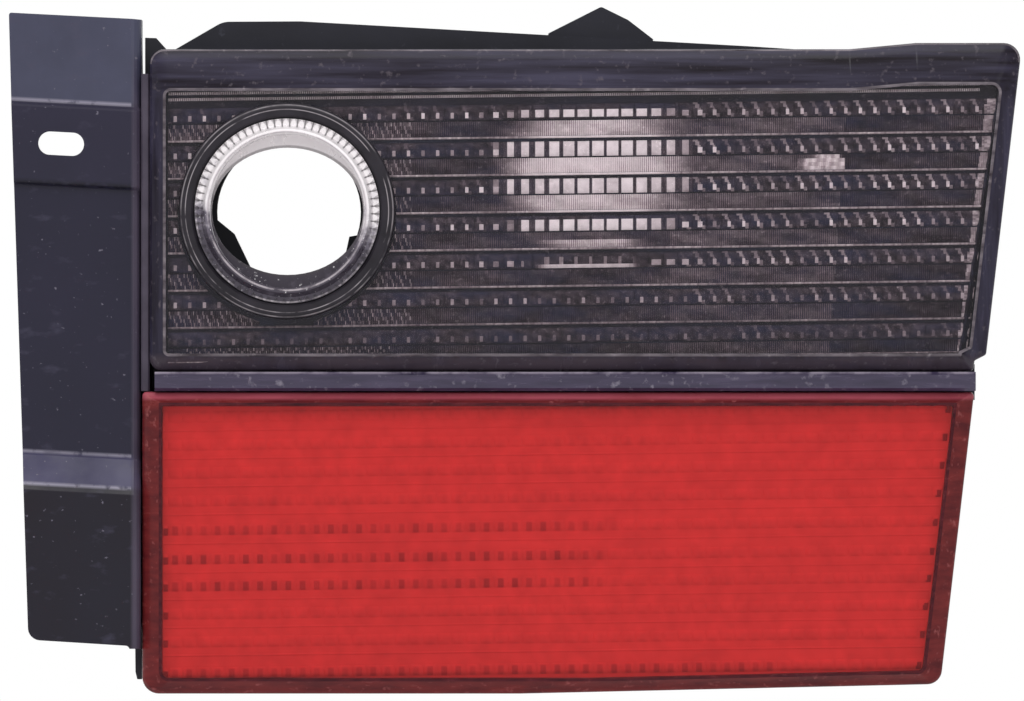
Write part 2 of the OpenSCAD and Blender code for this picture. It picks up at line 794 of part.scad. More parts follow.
module side_bracket() {
    tail_x = web_x - 1.1;
    slot_cut = 5;
    color([0.2, 0.2, 0.26])
        difference() {
            intersection() {
                loft([for (p = profile_points()) plate_section(p[0], p[1])]);
                slab(-web_d, 2 * web_d)
                    polygon(rounded([
                        [plate_left(plate_bottom), plate_bottom + 1.2],
                        [web_x - fold_r - 0.4, plate_bottom - 0.3],
                        [tail_x, web_low],
                        [web_x + 1, web_low],
                        [web_x + 1, plate_top - 0.2],
                        [web_x - fold_r, plate_top + 0.1],
                        [plate_left(plate_top), plate_top + 1.6]], [3, 1, 0.3, 0.3, 0.3, 0.3, 0.6]));
            }
            translate([web_x - 10, 0, 0])
                rotate([90, 0, 90])
                    linear_extrude(height = 20) {
                        polygon([[web_back - 12, plate_top + 5], [web_back - 12, plate_top - 6],
                            [web_back + 1, plate_top - 24], [web_back + 1, plate_top + 5]]);
                        polygon([[web_back - 6, web_low - 5], [web_back + 1, web_low - 5],
                            [web_back + 1, web_low + 8]]);
                        polygon([[foot_y - 3, web_low - 5], [foot_y + 16, web_low - 5],
                            [foot_y + 8, plate_bottom - 1], [foot_y - 3, plate_bottom - 1]]);
                    }
            translate([slot_at[0], 0, slot_at[1]])
                rotate([0, 3, 0]) {
                    for (side = [-1, 1])
                        translate([side * (slot_l - slot_w) / 2, 0, 0])
                            rod(pad_y - slot_cut, pad_y + sheet_t + slot_cut, slot_w / 2);
                    translate([-(slot_l - slot_w) / 2, pad_y - slot_cut, -slot_w / 2])
                        cube([slot_l - slot_w, sheet_t + 2 * slot_cut, slot_w]);
                }
            for (z = bracket_screw_z)
                translate([web_x - 5, bracket_screw_y, z])
                    rotate([0, 90, 0])
                        cylinder(h = 10, r = screw_r + slide);
        }
}

module pan_screw(length) {
    head_r = 3.4;
    head_t = 2.2;
    difference() {
        union() {
            cylinder(h = length, r = screw_r);
            translate([0, 0, -head_t])
                cylinder(h = head_t, r1 = head_r - 0.6, r2 = head_r);
        }
        for (a = [0, 90])
            rotate([0, 0, a])
                translate([-head_r / 2, -0.4, -head_t - 1])
                    cube([head_r, 0.8, 2.2]);
    }
}

module bracket_screws() {
    color([0.55, 0.55, 0.58])
        for (z = bracket_screw_z)
            translate([web_x - sheet_t, bracket_screw_y, z])
                rotate([0, 90, 0])
                    pan_screw(sheet_t + screw_grip);
}

module reflector_screws() {
    color([0.7, 0.7, 0.72])
        for (place = pan_screws)
            at(place)
                translate([0, reflector_y, 0])
                    rotate([-90, 0, 0])
                        pan_screw(bowl_t + 2 * screw_grip);
}

// Bright parabolic bowl cut to the chamber's rectangle, with flat wings
module reflector(centre, pan) {
    steps = 14;
    dish = [for (i = [0 : steps])
        let (r = bowl_hole_r + (bowl_r - bowl_hole_r) * i / steps)
        [r, apex_y - r * r / (4 * focal)]];
    back = [for (i = [steps : -1 : 0]) [dish[i][0] + bowl_t * 0.45, dish[i][1] + bowl_t]];
    difference() {
        intersection() {
            at(centre)
                turned(concat(dish, [[3 * bowl_r, reflector_y], [3 * bowl_r, reflector_y + bowl_t]], back));
            translate([pan[0], 0, pan[1]])
                cube([pan[2] - pan[0], body_d, pan[3] - pan[1]]);
        }
        for (place = pan_screws)
            at(place)
                rod(0, body_d, screw_r + fit);
    }
}

module upper_reflector() {
    color([0.8, 0.79, 0.8])
        reflector(reverse_at, upper_pan);
}

module lower_reflector() {
    color([0.78, 0.76, 0.77])
        difference() {
            reflector(fog_at, lower_pan);
            slab(0, body_d)
                difference() {
                    translate([2 * lower_pan[0], 2 * lower_pan[1]])
                        square([2 * right_reach, -2 * lower_pan[1]]);
                    polygon(step_in(lower_outline, lower_radii, spigot_in + reflector_gap));
                }
        }
}

module lens_bead(outline, radii, inner, inner_radii) {
    slab(skirt_d, rim_y)
        difference() {
            polygon(step_in(outline, radii, 0.3));
            polygon(step_in(inner, inner_radii, lens_wall - 0.3));
        }
}

module upper_lens_seal() {
    color([0.25, 0.25, 0.25])
        lens_bead(upper_outline, upper_radii, upper_inner, upper_inner_radii);
}

module lower_lens_seal() {
    color([0.25, 0.25, 0.25])
        lens_bead(lower_outline, lower_radii, lower_outline, lower_radii);
}

// Pear-shaped glass bulb, open at the neck where the base holds it
module bulb_glass(centre) {
    at(centre)
        difference() {
            union() {
                translate([0, light_y, 0])
                    sphere(r = glass_r);
                rod(light_y, base_y + neck_sunk, neck_r);
            }
            translate([0, light_y, 0])
                sphere(r = glass_r - glass_t);
            rod(light_y, base_y + neck_sunk + 1, neck_r - glass_t);
        }
}

module bulb_base(centre) {
    at(centre)
        difference() {
            union() {
                rod(base_y, base_end - 1, base_r);
                rod(base_end - 1, base_end, base_r - 0.8);
                rod(base_end, tip_end, 3.6);
                translate([-base_r - pin_out, pin_y, 0])
                    rotate([0, 90, 0])
                        cylinder(h = 2 * (base_r + pin_out), r = pin_r);
            }
            rod(base_y - 1, base_y + neck_sunk, neck_r + 0.1);
        }
}

// Coiled filament on its two wires and glass stem
module bulb_filament(centre) {
    coil_half = 3;
    turns = 6;
    core_r = 0.45;
    turn_r = 0.8;
    at(centre) {
        rod(base_y - 3, base_y + neck_sunk, coil_half + 0.6);
        for (side = [-1, 1])
            translate([side * coil_half, 0, 0])
                rod(light_y, base_y - 2, 0.35);
        translate([0, light_y, 0])
            rotate([0, 90, 0])
                rotate_extrude()
                    polygon(concat([[0, -coil_half]],
                        [for (i = [0 : 2 * turns])
                            [i % 2 == 0 ? core_r : turn_r, -coil_half + i * coil_half / turns]],
                        [[0, coil_half]]));
    }
}

module reverse_bulb_glass() { color([0.9, 0.93, 0.95, 0.5]) bulb_glass(reverse_at); }

module reverse_bulb_base() { color([0.75, 0.62, 0.35]) bulb_base(reverse_at); }

module reverse_bulb_filament() { color([0.5, 0.5, 0.5]) bulb_filament(reverse_at); }

module fog_bulb_glass() { color([0.9, 0.93, 0.95, 0.5]) bulb_glass(fog_at); }

module fog_bulb_base() { color([0.75, 0.62, 0.35]) bulb_base(fog_at); }

module fog_bulb_filament() { color([0.5, 0.5, 0.5]) bulb_filament(fog_at); }

// Twist-in holder: plug, flange, grip wings, bayonet bore and two-pin socket
module bulb_holder(centre) {
    wings = 8;
    at(centre)
        difference() {
            union() {
                rod(base_y + 1, flange_y, plug_r);
                rod(flange_y, flange_y + flange_t, flange_r);
                rod(flange_y, barrel_end, barrel_r);
                for (a = [0 : 120 : 240])
                    rotate([0, a, 0])
                        translate([-3, inner_y - lug_t - fit, 0])
                            cube([6, lug_t, plug_r + lug_out]);
                for (i = [0 : wings - 1])
                    rotate([0, (i + 0.5) * 360 / wings, 0])
                        translate([-0.9, flange_y, 0])
                            cube([1.8, barrel_end - flange_y - 3, barrel_r + 2.4]);
                translate([-socket_w / 2, barrel_end - bite, earth_z / 2 - socket_h / 2])
                    cube([socket_w, socket_d + bite, socket_h]);
            }
            rod(base_y, bore_end, base_r + slide);
            translate([-base_r - pin_out - slide, base_y, -pin_r - slide])
                cube([2 * (base_r + pin_out + slide), pin_y + pin_r + slide - base_y, 2 * (pin_r + slide)]);
            translate([-1.6, base_y, 0])
                cube([3.2, bore_end - base_y, earth_z + blade_t / 2 + fit]);
            translate([-socket_w / 2 + 1.3, barrel_end, earth_z / 2 - socket_h / 2 + 1.3])
                cube([socket_w - 2.6, socket_d + 1, socket_h - 2.6]);
            for (z = [0, earth_z])
                translate([-blade_w / 2 - fit / 2, bore_end - 1, z - blade_t / 2 - fit / 2])
                    cube([blade_w + fit, barrel_end - bore_end + 2, blade_t + fit]);
        }
}

module reverse_holder() { color([0.25, 0.25, 0.28]) bulb_holder(reverse_at); }

module fog_holder() { color([0.25, 0.25, 0.28]) bulb_holder(fog_at); }

module holder_seal(centre) {
    at(centre)
        turned([[plug_r + 0.6, body_d], [flange_r - 0.6, body_d], [flange_r - 0.6, flange_y],
            [plug_r + 0.6, flange_y]]);
}

module reverse_holder_seal() { color([0.08, 0.08, 0.09]) holder_seal(reverse_at); }

module fog_holder_seal() { color([0.08, 0.08, 0.09]) holder_seal(fog_at); }

// Live contact behind the tip and earth contact along the base, each with its blade
module bulb_contacts(centre) {
    at(centre) {
        rod(tip_end, bore_end, 3);
        translate([-blade_w / 2, tip_end, -blade_t / 2])
            cube([blade_w, barrel_end + socket_d - 1 - tip_end, blade_t]);
        translate([-blade_w / 2, base_y + 2, earth_z - blade_t / 2])
            cube([blade_w, barrel_end + socket_d - 1 - base_y - 2, blade_t]);
    }
}

module reverse_contacts() { color([0.8, 0.68, 0.4]) bulb_contacts(reverse_at); }

module fog_contacts() { color([0.8, 0.68, 0.4]) bulb_contacts(fog_at); }

module body_gasket() {
    outer_in = rib_t + fit;
    color([0.1, 0.1, 0.11])
        slab(body_d, body_d + gasket_d)
            difference() {
                polygon(step_in(shell_outline, shell_radii, outer_in));
                polygon(step_in(shell_outline, shell_radii, outer_in + gasket_w));
            }
}

module mounting_studs() {
    color([0.75, 0.73, 0.6])
        for (place = stud_places)
            at(place) {
                rod(inner_y - 1, stud_seat, shank_r);
                rod(stud_seat - bite, stud_seat + stud_l - 1, stud_r);
                translate([0, stud_seat + stud_l - 1, 0])
                    rotate([-90, 0, 0])
                        cylinder(h = 1, r1 = stud_r, r2 = stud_r - 0.8);
                rod(inner_y - 3.5, inner_y - 1, stud_r + 1.5);
            }
}

module stud_seals() {
    color([0.08, 0.08, 0.09])
        for (place = stud_places)
            at(place)
                turned([[shank_r + fit / 2, body_d + stud_pad], [stud_seal_r, body_d + stud_pad],
                    [stud_seal_r, stud_seat], [shank_r + fit / 2, stud_seat]]);
}

module vent_caps() {
    color([0.08, 0.08, 0.09])
        for (place = vent_places)
            at(place)
                difference() {
                    turned([[0, body_d + 1], [vent_r + cap_wall, body_d + 1],
                        [vent_r + cap_wall, body_d + vent_l + 1.5],
                        [vent_r + cap_wall - 1, body_d + vent_l + 2.5], [0, body_d + vent_l + 2.5]]);
                    rod(body_d, body_d + vent_l, vent_r + 0.05);
                    translate([-1, body_d + vent_l - 1, -vent_r - cap_wall - 1])
                        cube([2, 2, vent_r + cap_wall + 1]);
                }
}

function swell_z(x) = lens_top + swell_h - swell_slope * (x - swell_x);

// Place of the hook's screw, square to the slope of the swelling
module on_swell() {
    x = (hook_x0 + hook_x1) / 2;
    translate([x, hook_y + hook_d + hook_tongue_d / 2, swell_z(x)])
        rotate([0, atan(swell_slope), 0])
            children();
}

// Many-sided hook, open at the back, on a tongue along the top of the housing
module locating_hook() {
    outline = [
        [hook_x0, swell_z(hook_x0)],
        [hook_x1, swell_z(hook_x1)],
        [hook_bend[0], lens_top + hook_bend[1]],
        [hook_peak[0], lens_top + hook_peak[1]]];
    tongue = [
        [hook_x0 + 4, swell_z(hook_x0 + 4)],
        [hook_x1 - 4, swell_z(hook_x1 - 4)],
        [hook_x1 - 4, swell_z(hook_x1 - 4) + hook_t],
        [hook_x0 + 4, swell_z(hook_x0 + 4) + hook_t]];
    color([0.1, 0.1, 0.13])
        difference() {
            union() {
                slab(hook_y, hook_y + hook_d)
                    polygon(rounded(outline, [0.3, 0.3, 0.8, 1]));
                slab(hook_y + hook_d - 1, hook_y + hook_d + hook_tongue_d)
                    polygon(tongue);
            }
            slab(hook_y + hook_t, hook_y + hook_d + 1)
                polygon(step_in(outline, [0.3, 0.3, 0.8, 1], hook_t));
            on_swell()
                translate([0, 0, -1])
                    cylinder(h = hook_t + 6, r = screw_r + fit);
        }
}

module hook_screw() {
    color([0.55, 0.55, 0.58])
        on_swell()
            translate([0, 0, hook_t])
                rotate([180, 0, 0])
                    pan_screw(hook_t + screw_grip);
}

housing();
upper_lens();
lower_lens();
divider_strip();
side_bracket();
lock_collar();
lock_seal();
locating_hook();
hook_screw();
upper_reflector();
lower_reflector();
upper_lens_seal();
lower_lens_seal();
reverse_bulb_glass();
reverse_bulb_base();
reverse_bulb_filament();
fog_bulb_glass();
fog_bulb_base();
fog_bulb_filament();
reverse_holder();
fog_holder();
reverse_holder_seal();
fog_holder_seal();
reverse_contacts();
fog_contacts();
body_gasket();
mounting_studs();
stud_seals();
bracket_screws();
reflector_screws();
vent_caps();
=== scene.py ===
import math
import random

import bmesh
import bpy
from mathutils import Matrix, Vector

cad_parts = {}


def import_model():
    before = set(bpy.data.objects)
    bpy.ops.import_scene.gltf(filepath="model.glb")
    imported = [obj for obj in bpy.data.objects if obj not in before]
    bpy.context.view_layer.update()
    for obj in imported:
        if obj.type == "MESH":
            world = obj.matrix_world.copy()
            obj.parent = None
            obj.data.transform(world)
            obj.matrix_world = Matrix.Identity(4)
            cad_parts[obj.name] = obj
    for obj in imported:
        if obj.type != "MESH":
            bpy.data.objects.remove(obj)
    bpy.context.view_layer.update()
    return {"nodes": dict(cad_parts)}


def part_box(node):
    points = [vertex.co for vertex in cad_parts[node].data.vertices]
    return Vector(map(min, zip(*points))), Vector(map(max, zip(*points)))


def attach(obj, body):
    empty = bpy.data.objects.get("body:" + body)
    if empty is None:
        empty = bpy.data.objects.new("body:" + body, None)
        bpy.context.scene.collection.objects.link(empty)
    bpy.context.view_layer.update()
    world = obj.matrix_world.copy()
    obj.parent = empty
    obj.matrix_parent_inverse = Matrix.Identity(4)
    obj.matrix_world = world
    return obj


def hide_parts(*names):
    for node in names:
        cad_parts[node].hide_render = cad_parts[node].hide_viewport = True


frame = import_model()
nodes = frame["nodes"]

# Everything below is worked out in millimetres, and MM turns it into the frame's metres.
MM = 0.001
# Millimetres to a pixel of the photo, its width and middle row, and the pixel of the lock hole's axis
PX = 0.24
PHOTO_W, PHOTO_MIDDLE = 1024, 350.5
LOCK_PX = (287, 211)
random.seed(7)


def px_x(px):
    """Millimetres along X of a column of the photo."""
    return (px - LOCK_PX[0]) * PX


def px_z(py):
    """Millimetres along Z of a row of the photo."""
    return (LOCK_PX[1] - py) * PX


# Sizes of the CAD model
LEFT_REACH = 33
RIGHT_REACH = 176.4
RIGHT_LEAN = 0.116
LENS_TOP = 38.9
UPPER_BOTTOM = -38.4
LOWER_TOP = -43.4
LOWER_BOTTOM = -115.9
LOWER_LEFT = 34.8
LOWER_SHORT = 1.8
BOTTOM_RISE = 2.3
RISE_FROM = 56
NOTCH_IN = 2.8
NOTCH_RISE = 1.5
CROWN_H = 1.5
CROWN_START, CROWN_FULL = 135, 151
TOP_BAND = 9.4
SKIRT_D = 13
SHOULDER_D = 2.6
TURN_D = 1.2
LENS_HOLE_R = 24.5
# Side plate: cross slope of its steps, and the heights that its colours run over
PLATE_LEAN = math.tan(math.radians(3))
PLATE_LOW, PLATE_HIGH = -115, 50
WEB_X = -35.1
# Collar: ticks, edge of its funnel, outer wall of its rim, oval hole in its floor
TICK_COUNT = 72
FUNNEL_R = 20
RIM_R, RIM_Y = 21.05, -1.3
OVAL, OVAL_Y = (18.2, 15.3), 10.5
# Studs, from the front of the head back
HEAD_Y, NECK_Y, THREAD_Y = 44.0, 46.5, 53.0
HEAD_R, NECK_R, STUD_R = 4.0, 2.8, 2.5
# Packing beside the web: its ends, its depths, and those of the lip in front of it
PACKING_LOW, PACKING_TOP = -100, 33
PACKING_Y, PACKING_LIP_Y = (15.7, 21.5), (4.6, 16.7)


def end_x(z):
    return RIGHT_REACH - RIGHT_LEAN * (LENS_TOP - z)


NOTCH_Z = UPPER_BOTTOM + 2.4
UPPER_OUTLINE = [
    (-LEFT_REACH, UPPER_BOTTOM),
    (end_x(NOTCH_Z) - NOTCH_IN, UPPER_BOTTOM),
    (end_x(NOTCH_Z) - NOTCH_IN, NOTCH_Z),
    (end_x(NOTCH_Z + NOTCH_RISE), NOTCH_Z + NOTCH_RISE),
    (end_x(LENS_TOP + CROWN_H), LENS_TOP + CROWN_H),
    (CROWN_FULL, LENS_TOP + CROWN_H),
    (CROWN_START, LENS_TOP),
    (-LEFT_REACH, LENS_TOP)]
# Corner radii, and how far the face and the shoulder lie inside each edge of the outline
UPPER_RADII = [3, 1, 1, 1, 4, 5, 5, 3.4]
UPPER_FACE_IN = [3.5, 3, 3, 3.6, TOP_BAND, TOP_BAND, TOP_BAND, 3.2]
UPPER_SHOULDER_IN = [1, 1, 1, 1.2, 2.2, 2.2, 2.2, 1]
# The tray behind the skin leaves the notch out
INNER_CORNERS = [0, 1, 4, 5, 6, 7]
INNER_EDGES = [0, 3, 4, 5, 6, 7]
LOWER_OUTLINE = [
    (-LOWER_LEFT, LOWER_BOTTOM),
    (RISE_FROM, LOWER_BOTTOM),
    (end_x(LOWER_BOTTOM + BOTTOM_RISE) - LOWER_SHORT, LOWER_BOTTOM + BOTTOM_RISE),
    (end_x(LOWER_TOP) - LOWER_SHORT, LOWER_TOP),
    (-LOWER_LEFT, LOWER_TOP)]
LOWER_RADII = [4, 30, 3.6, 1, 1]
LOWER_FACE_IN = [3, 2.6, 3.9, 2.6, 4]
LOWER_SHOULDER_IN = [1, 1, 1.2, 0.8, 1]

# Sizes of the visible lenses: skin, fine edge of the face, line of the shoulder with a painted highlight on
# the smoked lens, lip of the tray
SHELL_T = 0.4
EDGE_W, EDGE_D = 0.7, 0.12
LINE_IN = 0.45
LIP_D = 1.4
# Depths of the optics, and where their rows and the frosting at their right ends stop
RELIEF_BASE_Y = 2.5
RELIEF_BACK_Y = RELIEF_BASE_Y + 0.3
RELIEF_FRONT_Y = 1.45
FROST_IN = 7.0
ROW_END_IN = 4.6


# Outlines with round corners

def cross2(a, b):
    return a[0] * b[1] - a[1] * b[0]


def corner_arc(a, b, c, r, steps):
    a, b, c = Vector(a), Vector(b), Vector(c)
    u = (a - b).normalized()
    w = (c - b).normalized()
    half = u.angle(w) / 2
    centre = b + (u + w).normalized() * r / math.sin(half)
    start = b + u * r / math.tan(half) - centre
    first = math.atan2(start.y, start.x)
    sweep = (math.pi - 2 * half) * math.copysign(1, cross2(b - a, c - b))
    turns = [first + sweep * i / steps for i in range(steps + 1)]
    return [centre + r * Vector((math.cos(a), math.sin(a))) for a in turns]


def rounded(corners, radii, steps=8):
    n = len(corners)
    points = []
    for i in range(n):
        points += corner_arc(corners[i - 1], corners[i], corners[(i + 1) % n], radii[i], steps)
    return points


def inset(corners, distances):
    """The outline with edge i, from corner i to the next, moved inward by distances[i]."""
    n = len(corners)
    moved = []
    for i in range(n):
        a, b, c = Vector(corners[i - 1]), Vector(corners[i]), Vector(corners[(i + 1) % n])
        in_1 = Vector((a.y - b.y, b.x - a.x)).normalized()
        in_2 = Vector((b.y - c.y, c.x - b.x)).normalized()
        p = b + in_1 * distances[i - 1]
        q = b + in_2 * distances[i]
        moved.append(p + (b - a) * cross2(q - p, c - b) / cross2(b - a, c - b))
    return moved


def rings(corners, radii, rows):
    """Rings from rows of insets, what they grow by, what the radii lose, and depth."""
    made = []
    for insets, more, less, y in rows:
        edge = rounded(inset(corners, [d + more for d in insets]), [max(0.3, r - less) for r in radii])
        made.append([(p.x, y, p.y) for p in edge])
    return made


# Meshes

def add(name, data):
    made = bpy.data.objects.new(name, data)
    bpy.context.scene.collection.objects.link(made)
    return made


def new_piece(name, bm, finishes, replaced, smooth):
    """Makes an object of a bmesh in millimetres, rides it on the lamp and hides the CAD nodes that it stands
    for.
    """
    for v in bm.verts:
        v.co *= MM
    bmesh.ops.recalc_face_normals(bm, faces=bm.faces)
    mesh = bpy.data.meshes.new(name)
    bm.to_mesh(mesh)
    bm.free()
    for finish in finishes:
        mesh.materials.append(finish.material)
    piece = add(name, mesh)
    shade(piece, smooth)
    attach(piece, "root")
    if replaced:
        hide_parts(*replaced)
    return piece


def shade(piece, degrees):
    """Smooth shading, broken at edges sharper than the angle."""
    mesh = piece.data
    mesh.shade_smooth()
    bm = bmesh.new()
    bm.from_mesh(mesh)
    limit = math.radians(degrees)
    sharp = [len(e.link_faces) == 2 and e.calc_face_angle(0) > limit for e in bm.edges]
    bm.free()
    attribute = mesh.attributes.get("sharp_edge") or mesh.attributes.new("sharp_edge", "BOOLEAN", "EDGE")
    attribute.data.foreach_set("value", sharp)


def bands(bm, loops):
    """Faces between each closed loop of vertices and the next."""
    n = len(loops[0])
    return [bm.faces.new((near[i], near[(i + 1) % n], far[(i + 1) % n], far[i]))
            for near, far in zip(loops, loops[1:]) for i in range(n)]


def loft(bm, outlines):
    """Closed skin through outlines of the same number of points."""
    made = [[bm.verts.new(p) for p in outline] for outline in outlines]
    return [bm.faces.new(made[0]), bm.faces.new(list(reversed(made[-1])))] + bands(bm, made)


def turned(bm, profile, centre, segments=32):
    """Closed ring turned about a Y axis from a closed profile of radius and depth."""
    made = []
    for k in range(segments):
        a = 2 * math.pi * k / segments
        made.append([bm.verts.new((centre[0] + r * math.cos(a), y, centre[1] + r * math.sin(a)))
                     for r, y in profile])
    bands(bm, made + made[:1])


# Materials

def set_inputs(node, **values):
    """Sets sockets by their names, written with _ for each space."""
    for key, value in values.items():
        node.inputs[key.replace("_", " ")].default_value = value


class Paint:
    """A Principled material whose looks come from a few procedural nodes in object coordinates."""

    def __init__(self, name, roughness=0.5, metallic=0.0, specular=0.5, coat=0.0, coat_roughness=0.1):
        self.material = bpy.data.materials.new(name)
        self.material.use_nodes = True
        self.tree = self.material.node_tree
        self.bsdf = self.tree.nodes["Principled BSDF"]
        self.output = self.tree.nodes["Material Output"]
        set_inputs(self.bsdf, Roughness=roughness, Metallic=metallic, Specular_IOR_Level=specular,
                   Coat_Weight=coat, Coat_Roughness=coat_roughness)
        self.place = self.node("ShaderNodeTexCoord").outputs["Object"]

    def node(self, kind, **settings):
        made = self.tree.nodes.new(kind)
        for key, value in settings.items():
            setattr(made, key, value)
        return made

    def link(self, a, b):
        self.tree.links.new(a, b)

    def noise(self, scale, detail, stretch=(1, 1, 1)):
        """Noise between 0 and 1 with about scale lumps to the metre."""
        mapping = self.node("ShaderNodeMapping")
        made = self.node("ShaderNodeTexNoise")
        set_inputs(mapping, Scale=stretch)
        set_inputs(made, Scale=scale, Detail=detail, Roughness=0.55)
        self.link(self.place, mapping.inputs["Vector"])
        self.link(mapping.outputs[0], made.inputs["Vector"])
        return made.outputs["Fac"]

    def ramp(self, value, stops):
        """Colour from a value, with stops of (position, colour)."""
        made = self.node("ShaderNodeValToRGB")
        elements = made.color_ramp.elements
        while len(elements) < len(stops):
            elements.new(0.5)
        for element, (position, colour) in zip(elements, stops):
            element.position = position
            element.color = (*colour, 1)
        self.link(value, made.inputs["Fac"])
        return made.outputs["Color"]

    def range(self, value, low, high, to_low=0.0, to_high=1.0):
        made = self.node("ShaderNodeMapRange")
        set_inputs(made, From_Min=low, From_Max=high, To_Min=to_low, To_Max=to_high)
        self.link(value, made.inputs["Value"])
        return made.outputs["Result"]

    def between(self, place, low, high, to_low=0.0, to_high=1.0):
        """Range of a place along an axis or radius, from low to high in millimetres."""
        return self.range(place, low * MM, high * MM, to_low, to_high)

    def mix(self, factor, a, b):
        made = self.node("ShaderNodeMix", data_type="RGBA")
        for name, source in (("Factor", factor), ("A", a), ("B", b)):
            socket = next(s for s in made.inputs if s.name == name and s.enabled)
            if isinstance(source, (int, float)):
                socket.default_value = source
            elif isinstance(source, tuple):
                socket.default_value = (*source, 1)
            else:
                self.link(source, socket)
        return next(s for s in made.outputs if s.enabled)

    def math(self, operation, a, b=0.0):
        made = self.node("ShaderNodeMath", operation=operation)
        for socket, source in zip(made.inputs, (a, b)):
            if isinstance(source, (int, float)):
                socket.default_value = source
            else:
                self.link(source, socket)
        return made.outputs[0]

    def times(self, a, b):
        return self.math("MULTIPLY", a, b)

    def axis(self, letter):
        made = self.node("ShaderNodeSeparateXYZ")
        self.link(self.place, made.inputs[0])
        return made.outputs[letter]

    def radius(self):
        """Distance from the axis of the lock hole."""
        return self.length(self.axis("X"), self.axis("Z"))

    def length(self, a, b):
        return self.math("SQRT", self.math("ADD", self.times(a, a), self.times(b, b)))

    def ring_line(self, middle, width, broken):
        """Broken line of a width round the lock hole, both in millimetres."""
        near = self.math("ABSOLUTE", self.math("SUBTRACT", self.radius(), middle * MM))
        return self.times(self.between(near, width, 0.4 * width), broken)

    def attribute(self, name):
        return self.node("ShaderNodeAttribute", attribute_name=name).outputs["Fac"]

    def colour(self, source):
        self.link(source, self.bsdf.inputs["Base Color"])

    def rough(self, value, low, high):
        self.link(self.range(value, 0.3, 0.7, low, high), self.bsdf.inputs["Roughness"])

    def bump(self, height, depth, strength=0.5):
        """Bump of about depth millimetres."""
        made = self.node("ShaderNodeBump")
        set_inputs(made, Strength=strength, Distance=depth * MM)
        self.link(height, made.inputs["Height"])
        self.link(made.outputs[0], self.bsdf.inputs["Normal"])


def moulded(name, dark, light, roughness, specular=0.4):
    """Moulded plastic: a fine spark-eroded grain, faint flow marks and dust."""
    paint = Paint(name, roughness[0], specular=specular)
    flow = paint.noise(45, 4, (1, 1, 2.5))
    dust = paint.range(paint.noise(420, 3), 0.66, 0.78)
    base = paint.ramp(flow, [(0.3, dark), (0.7, light)])
    paint.colour(paint.mix(dust, base, tuple(1.7 * c + 0.01 for c in light)))
    paint.rough(flow, *roughness)
    paint.bump(paint.noise(1500, 2), 0.02)
    return paint


def painted_sheet():
    """Satin paint on pressed steel, with painted light and shade by height: darker lower down, a painted
    reflection on the ramp, painted highlights along the ramp's edges and the upper crease, and painted
    shadow in the lower crease.
    """
    paint = Paint("satin_paint", 0.36, specular=0.28)
    height = paint.math("ADD", paint.axis("Z"), paint.times(paint.axis("X"), PLATE_LEAN))
    fold_x = px_x(131)

    def at(py):
        return (px_z(py) + PLATE_LEAN * fold_x - PLATE_LOW) / (PLATE_HIGH - PLATE_LOW)

    # Tones by height are painted light and shade: the leaning top lit, the ramp a painted reflection, the
    # foot in painted shade, pale painted highlights at the bends and a dark painted shadow in a crease
    lit_slate, pad, middle = (0.055, 0.057, 0.100), (0.021, 0.018, 0.040), (0.016, 0.014, 0.033)
    ramp, shaded_foot, crease_shadow = (0.050, 0.044, 0.105), (0.009, 0.006, 0.012), (0.004, 0.003, 0.008)
    painted_highlight = (0.30, 0.28, 0.36)
    stops = [(0.0, shaded_foot), (at(491), shaded_foot), (at(490), painted_highlight), (at(487.5), painted_highlight), (at(486.5), ramp),
             (at(458), ramp), (at(457), painted_highlight), (at(455.5), painted_highlight), (at(454.5), middle), (at(191), middle),
             (at(190), crease_shadow), (at(186), crease_shadow), (at(184), pad), (at(107), pad), (at(106), painted_highlight),
             (at(104), painted_highlight), (at(103), lit_slate), (1.0, lit_slate)]
    up = paint.between(height, PLATE_LOW, PLATE_HIGH)
    zones_with_painted_lines = paint.ramp(up, stops)
    plain = paint.ramp(up, [stop for stop in stops if stop[1] not in (painted_highlight, crease_shadow)])
    # Painted highlight and crease-shadow lines, broken by noise, only on the plate in front of the fold
    breakup = paint.range(paint.noise(330, 4), 0.3, 0.44)
    front = paint.math("LESS_THAN", paint.axis("X"), fold_x * MM)
    base = paint.mix(paint.times(breakup, front), plain, zones_with_painted_lines)
    cloud = paint.noise(34, 5)
    base = paint.mix(paint.range(cloud, 0.3, 0.7, 0.0, 0.55), base, (0.010, 0.010, 0.022))
    scuff = paint.range(paint.noise(150, 5, (1, 1, 2)), 0.6, 0.74, 0, 0.5)
    speck = paint.range(paint.noise(800, 2), 0.7, 0.77)
    worn = paint.mix(scuff, base, (0.055, 0.05, 0.085))
    # Painted highlight along the fold at the plate's edge
    fold_highlight = paint.times(paint.between(paint.axis("X"), px_x(130), px_x(134)),
                       paint.between(paint.axis("Y"), 9, 6))
    fold_highlight = paint.times(fold_highlight, paint.range(cloud, 0.25, 0.6, 0.45, 1))
    worn = paint.mix(fold_highlight, worn, (0.075, 0.06, 0.092))
    paint.colour(paint.mix(speck, worn, (0.13, 0.12, 0.16)))
    paint.rough(paint.noise(140, 4), 0.3, 0.48)
    paint.bump(paint.noise(1100, 2), 0.012, 0.3)
    return paint


def rubber(name, dark, light, roughness):
    paint = Paint(name, roughness, specular=0.3)
    cloud = paint.noise(120, 4)
    paint.colour(paint.ramp(cloud, [(0.3, dark), (0.7, light)]))
    paint.rough(cloud, roughness - 0.12, roughness + 0.08)
    paint.bump(paint.noise(1900, 3), 0.03, 0.5)
    return paint


def foam():
    """Closed-cell foam: small pits of many sizes."""
    paint = Paint("closed_cell_foam", 0.85, specular=0.2)
    cells = paint.node("ShaderNodeTexVoronoi")
    set_inputs(cells, Scale=1500)
    paint.link(paint.place, cells.inputs["Vector"])
    pits = cells.outputs["Distance"]
    paint.colour(paint.ramp(pits, [(0.0, (0.012, 0.012, 0.014)), (0.6, (0.05, 0.05, 0.055))]))
    paint.bump(pits, 0.15, 0.8)
    return paint


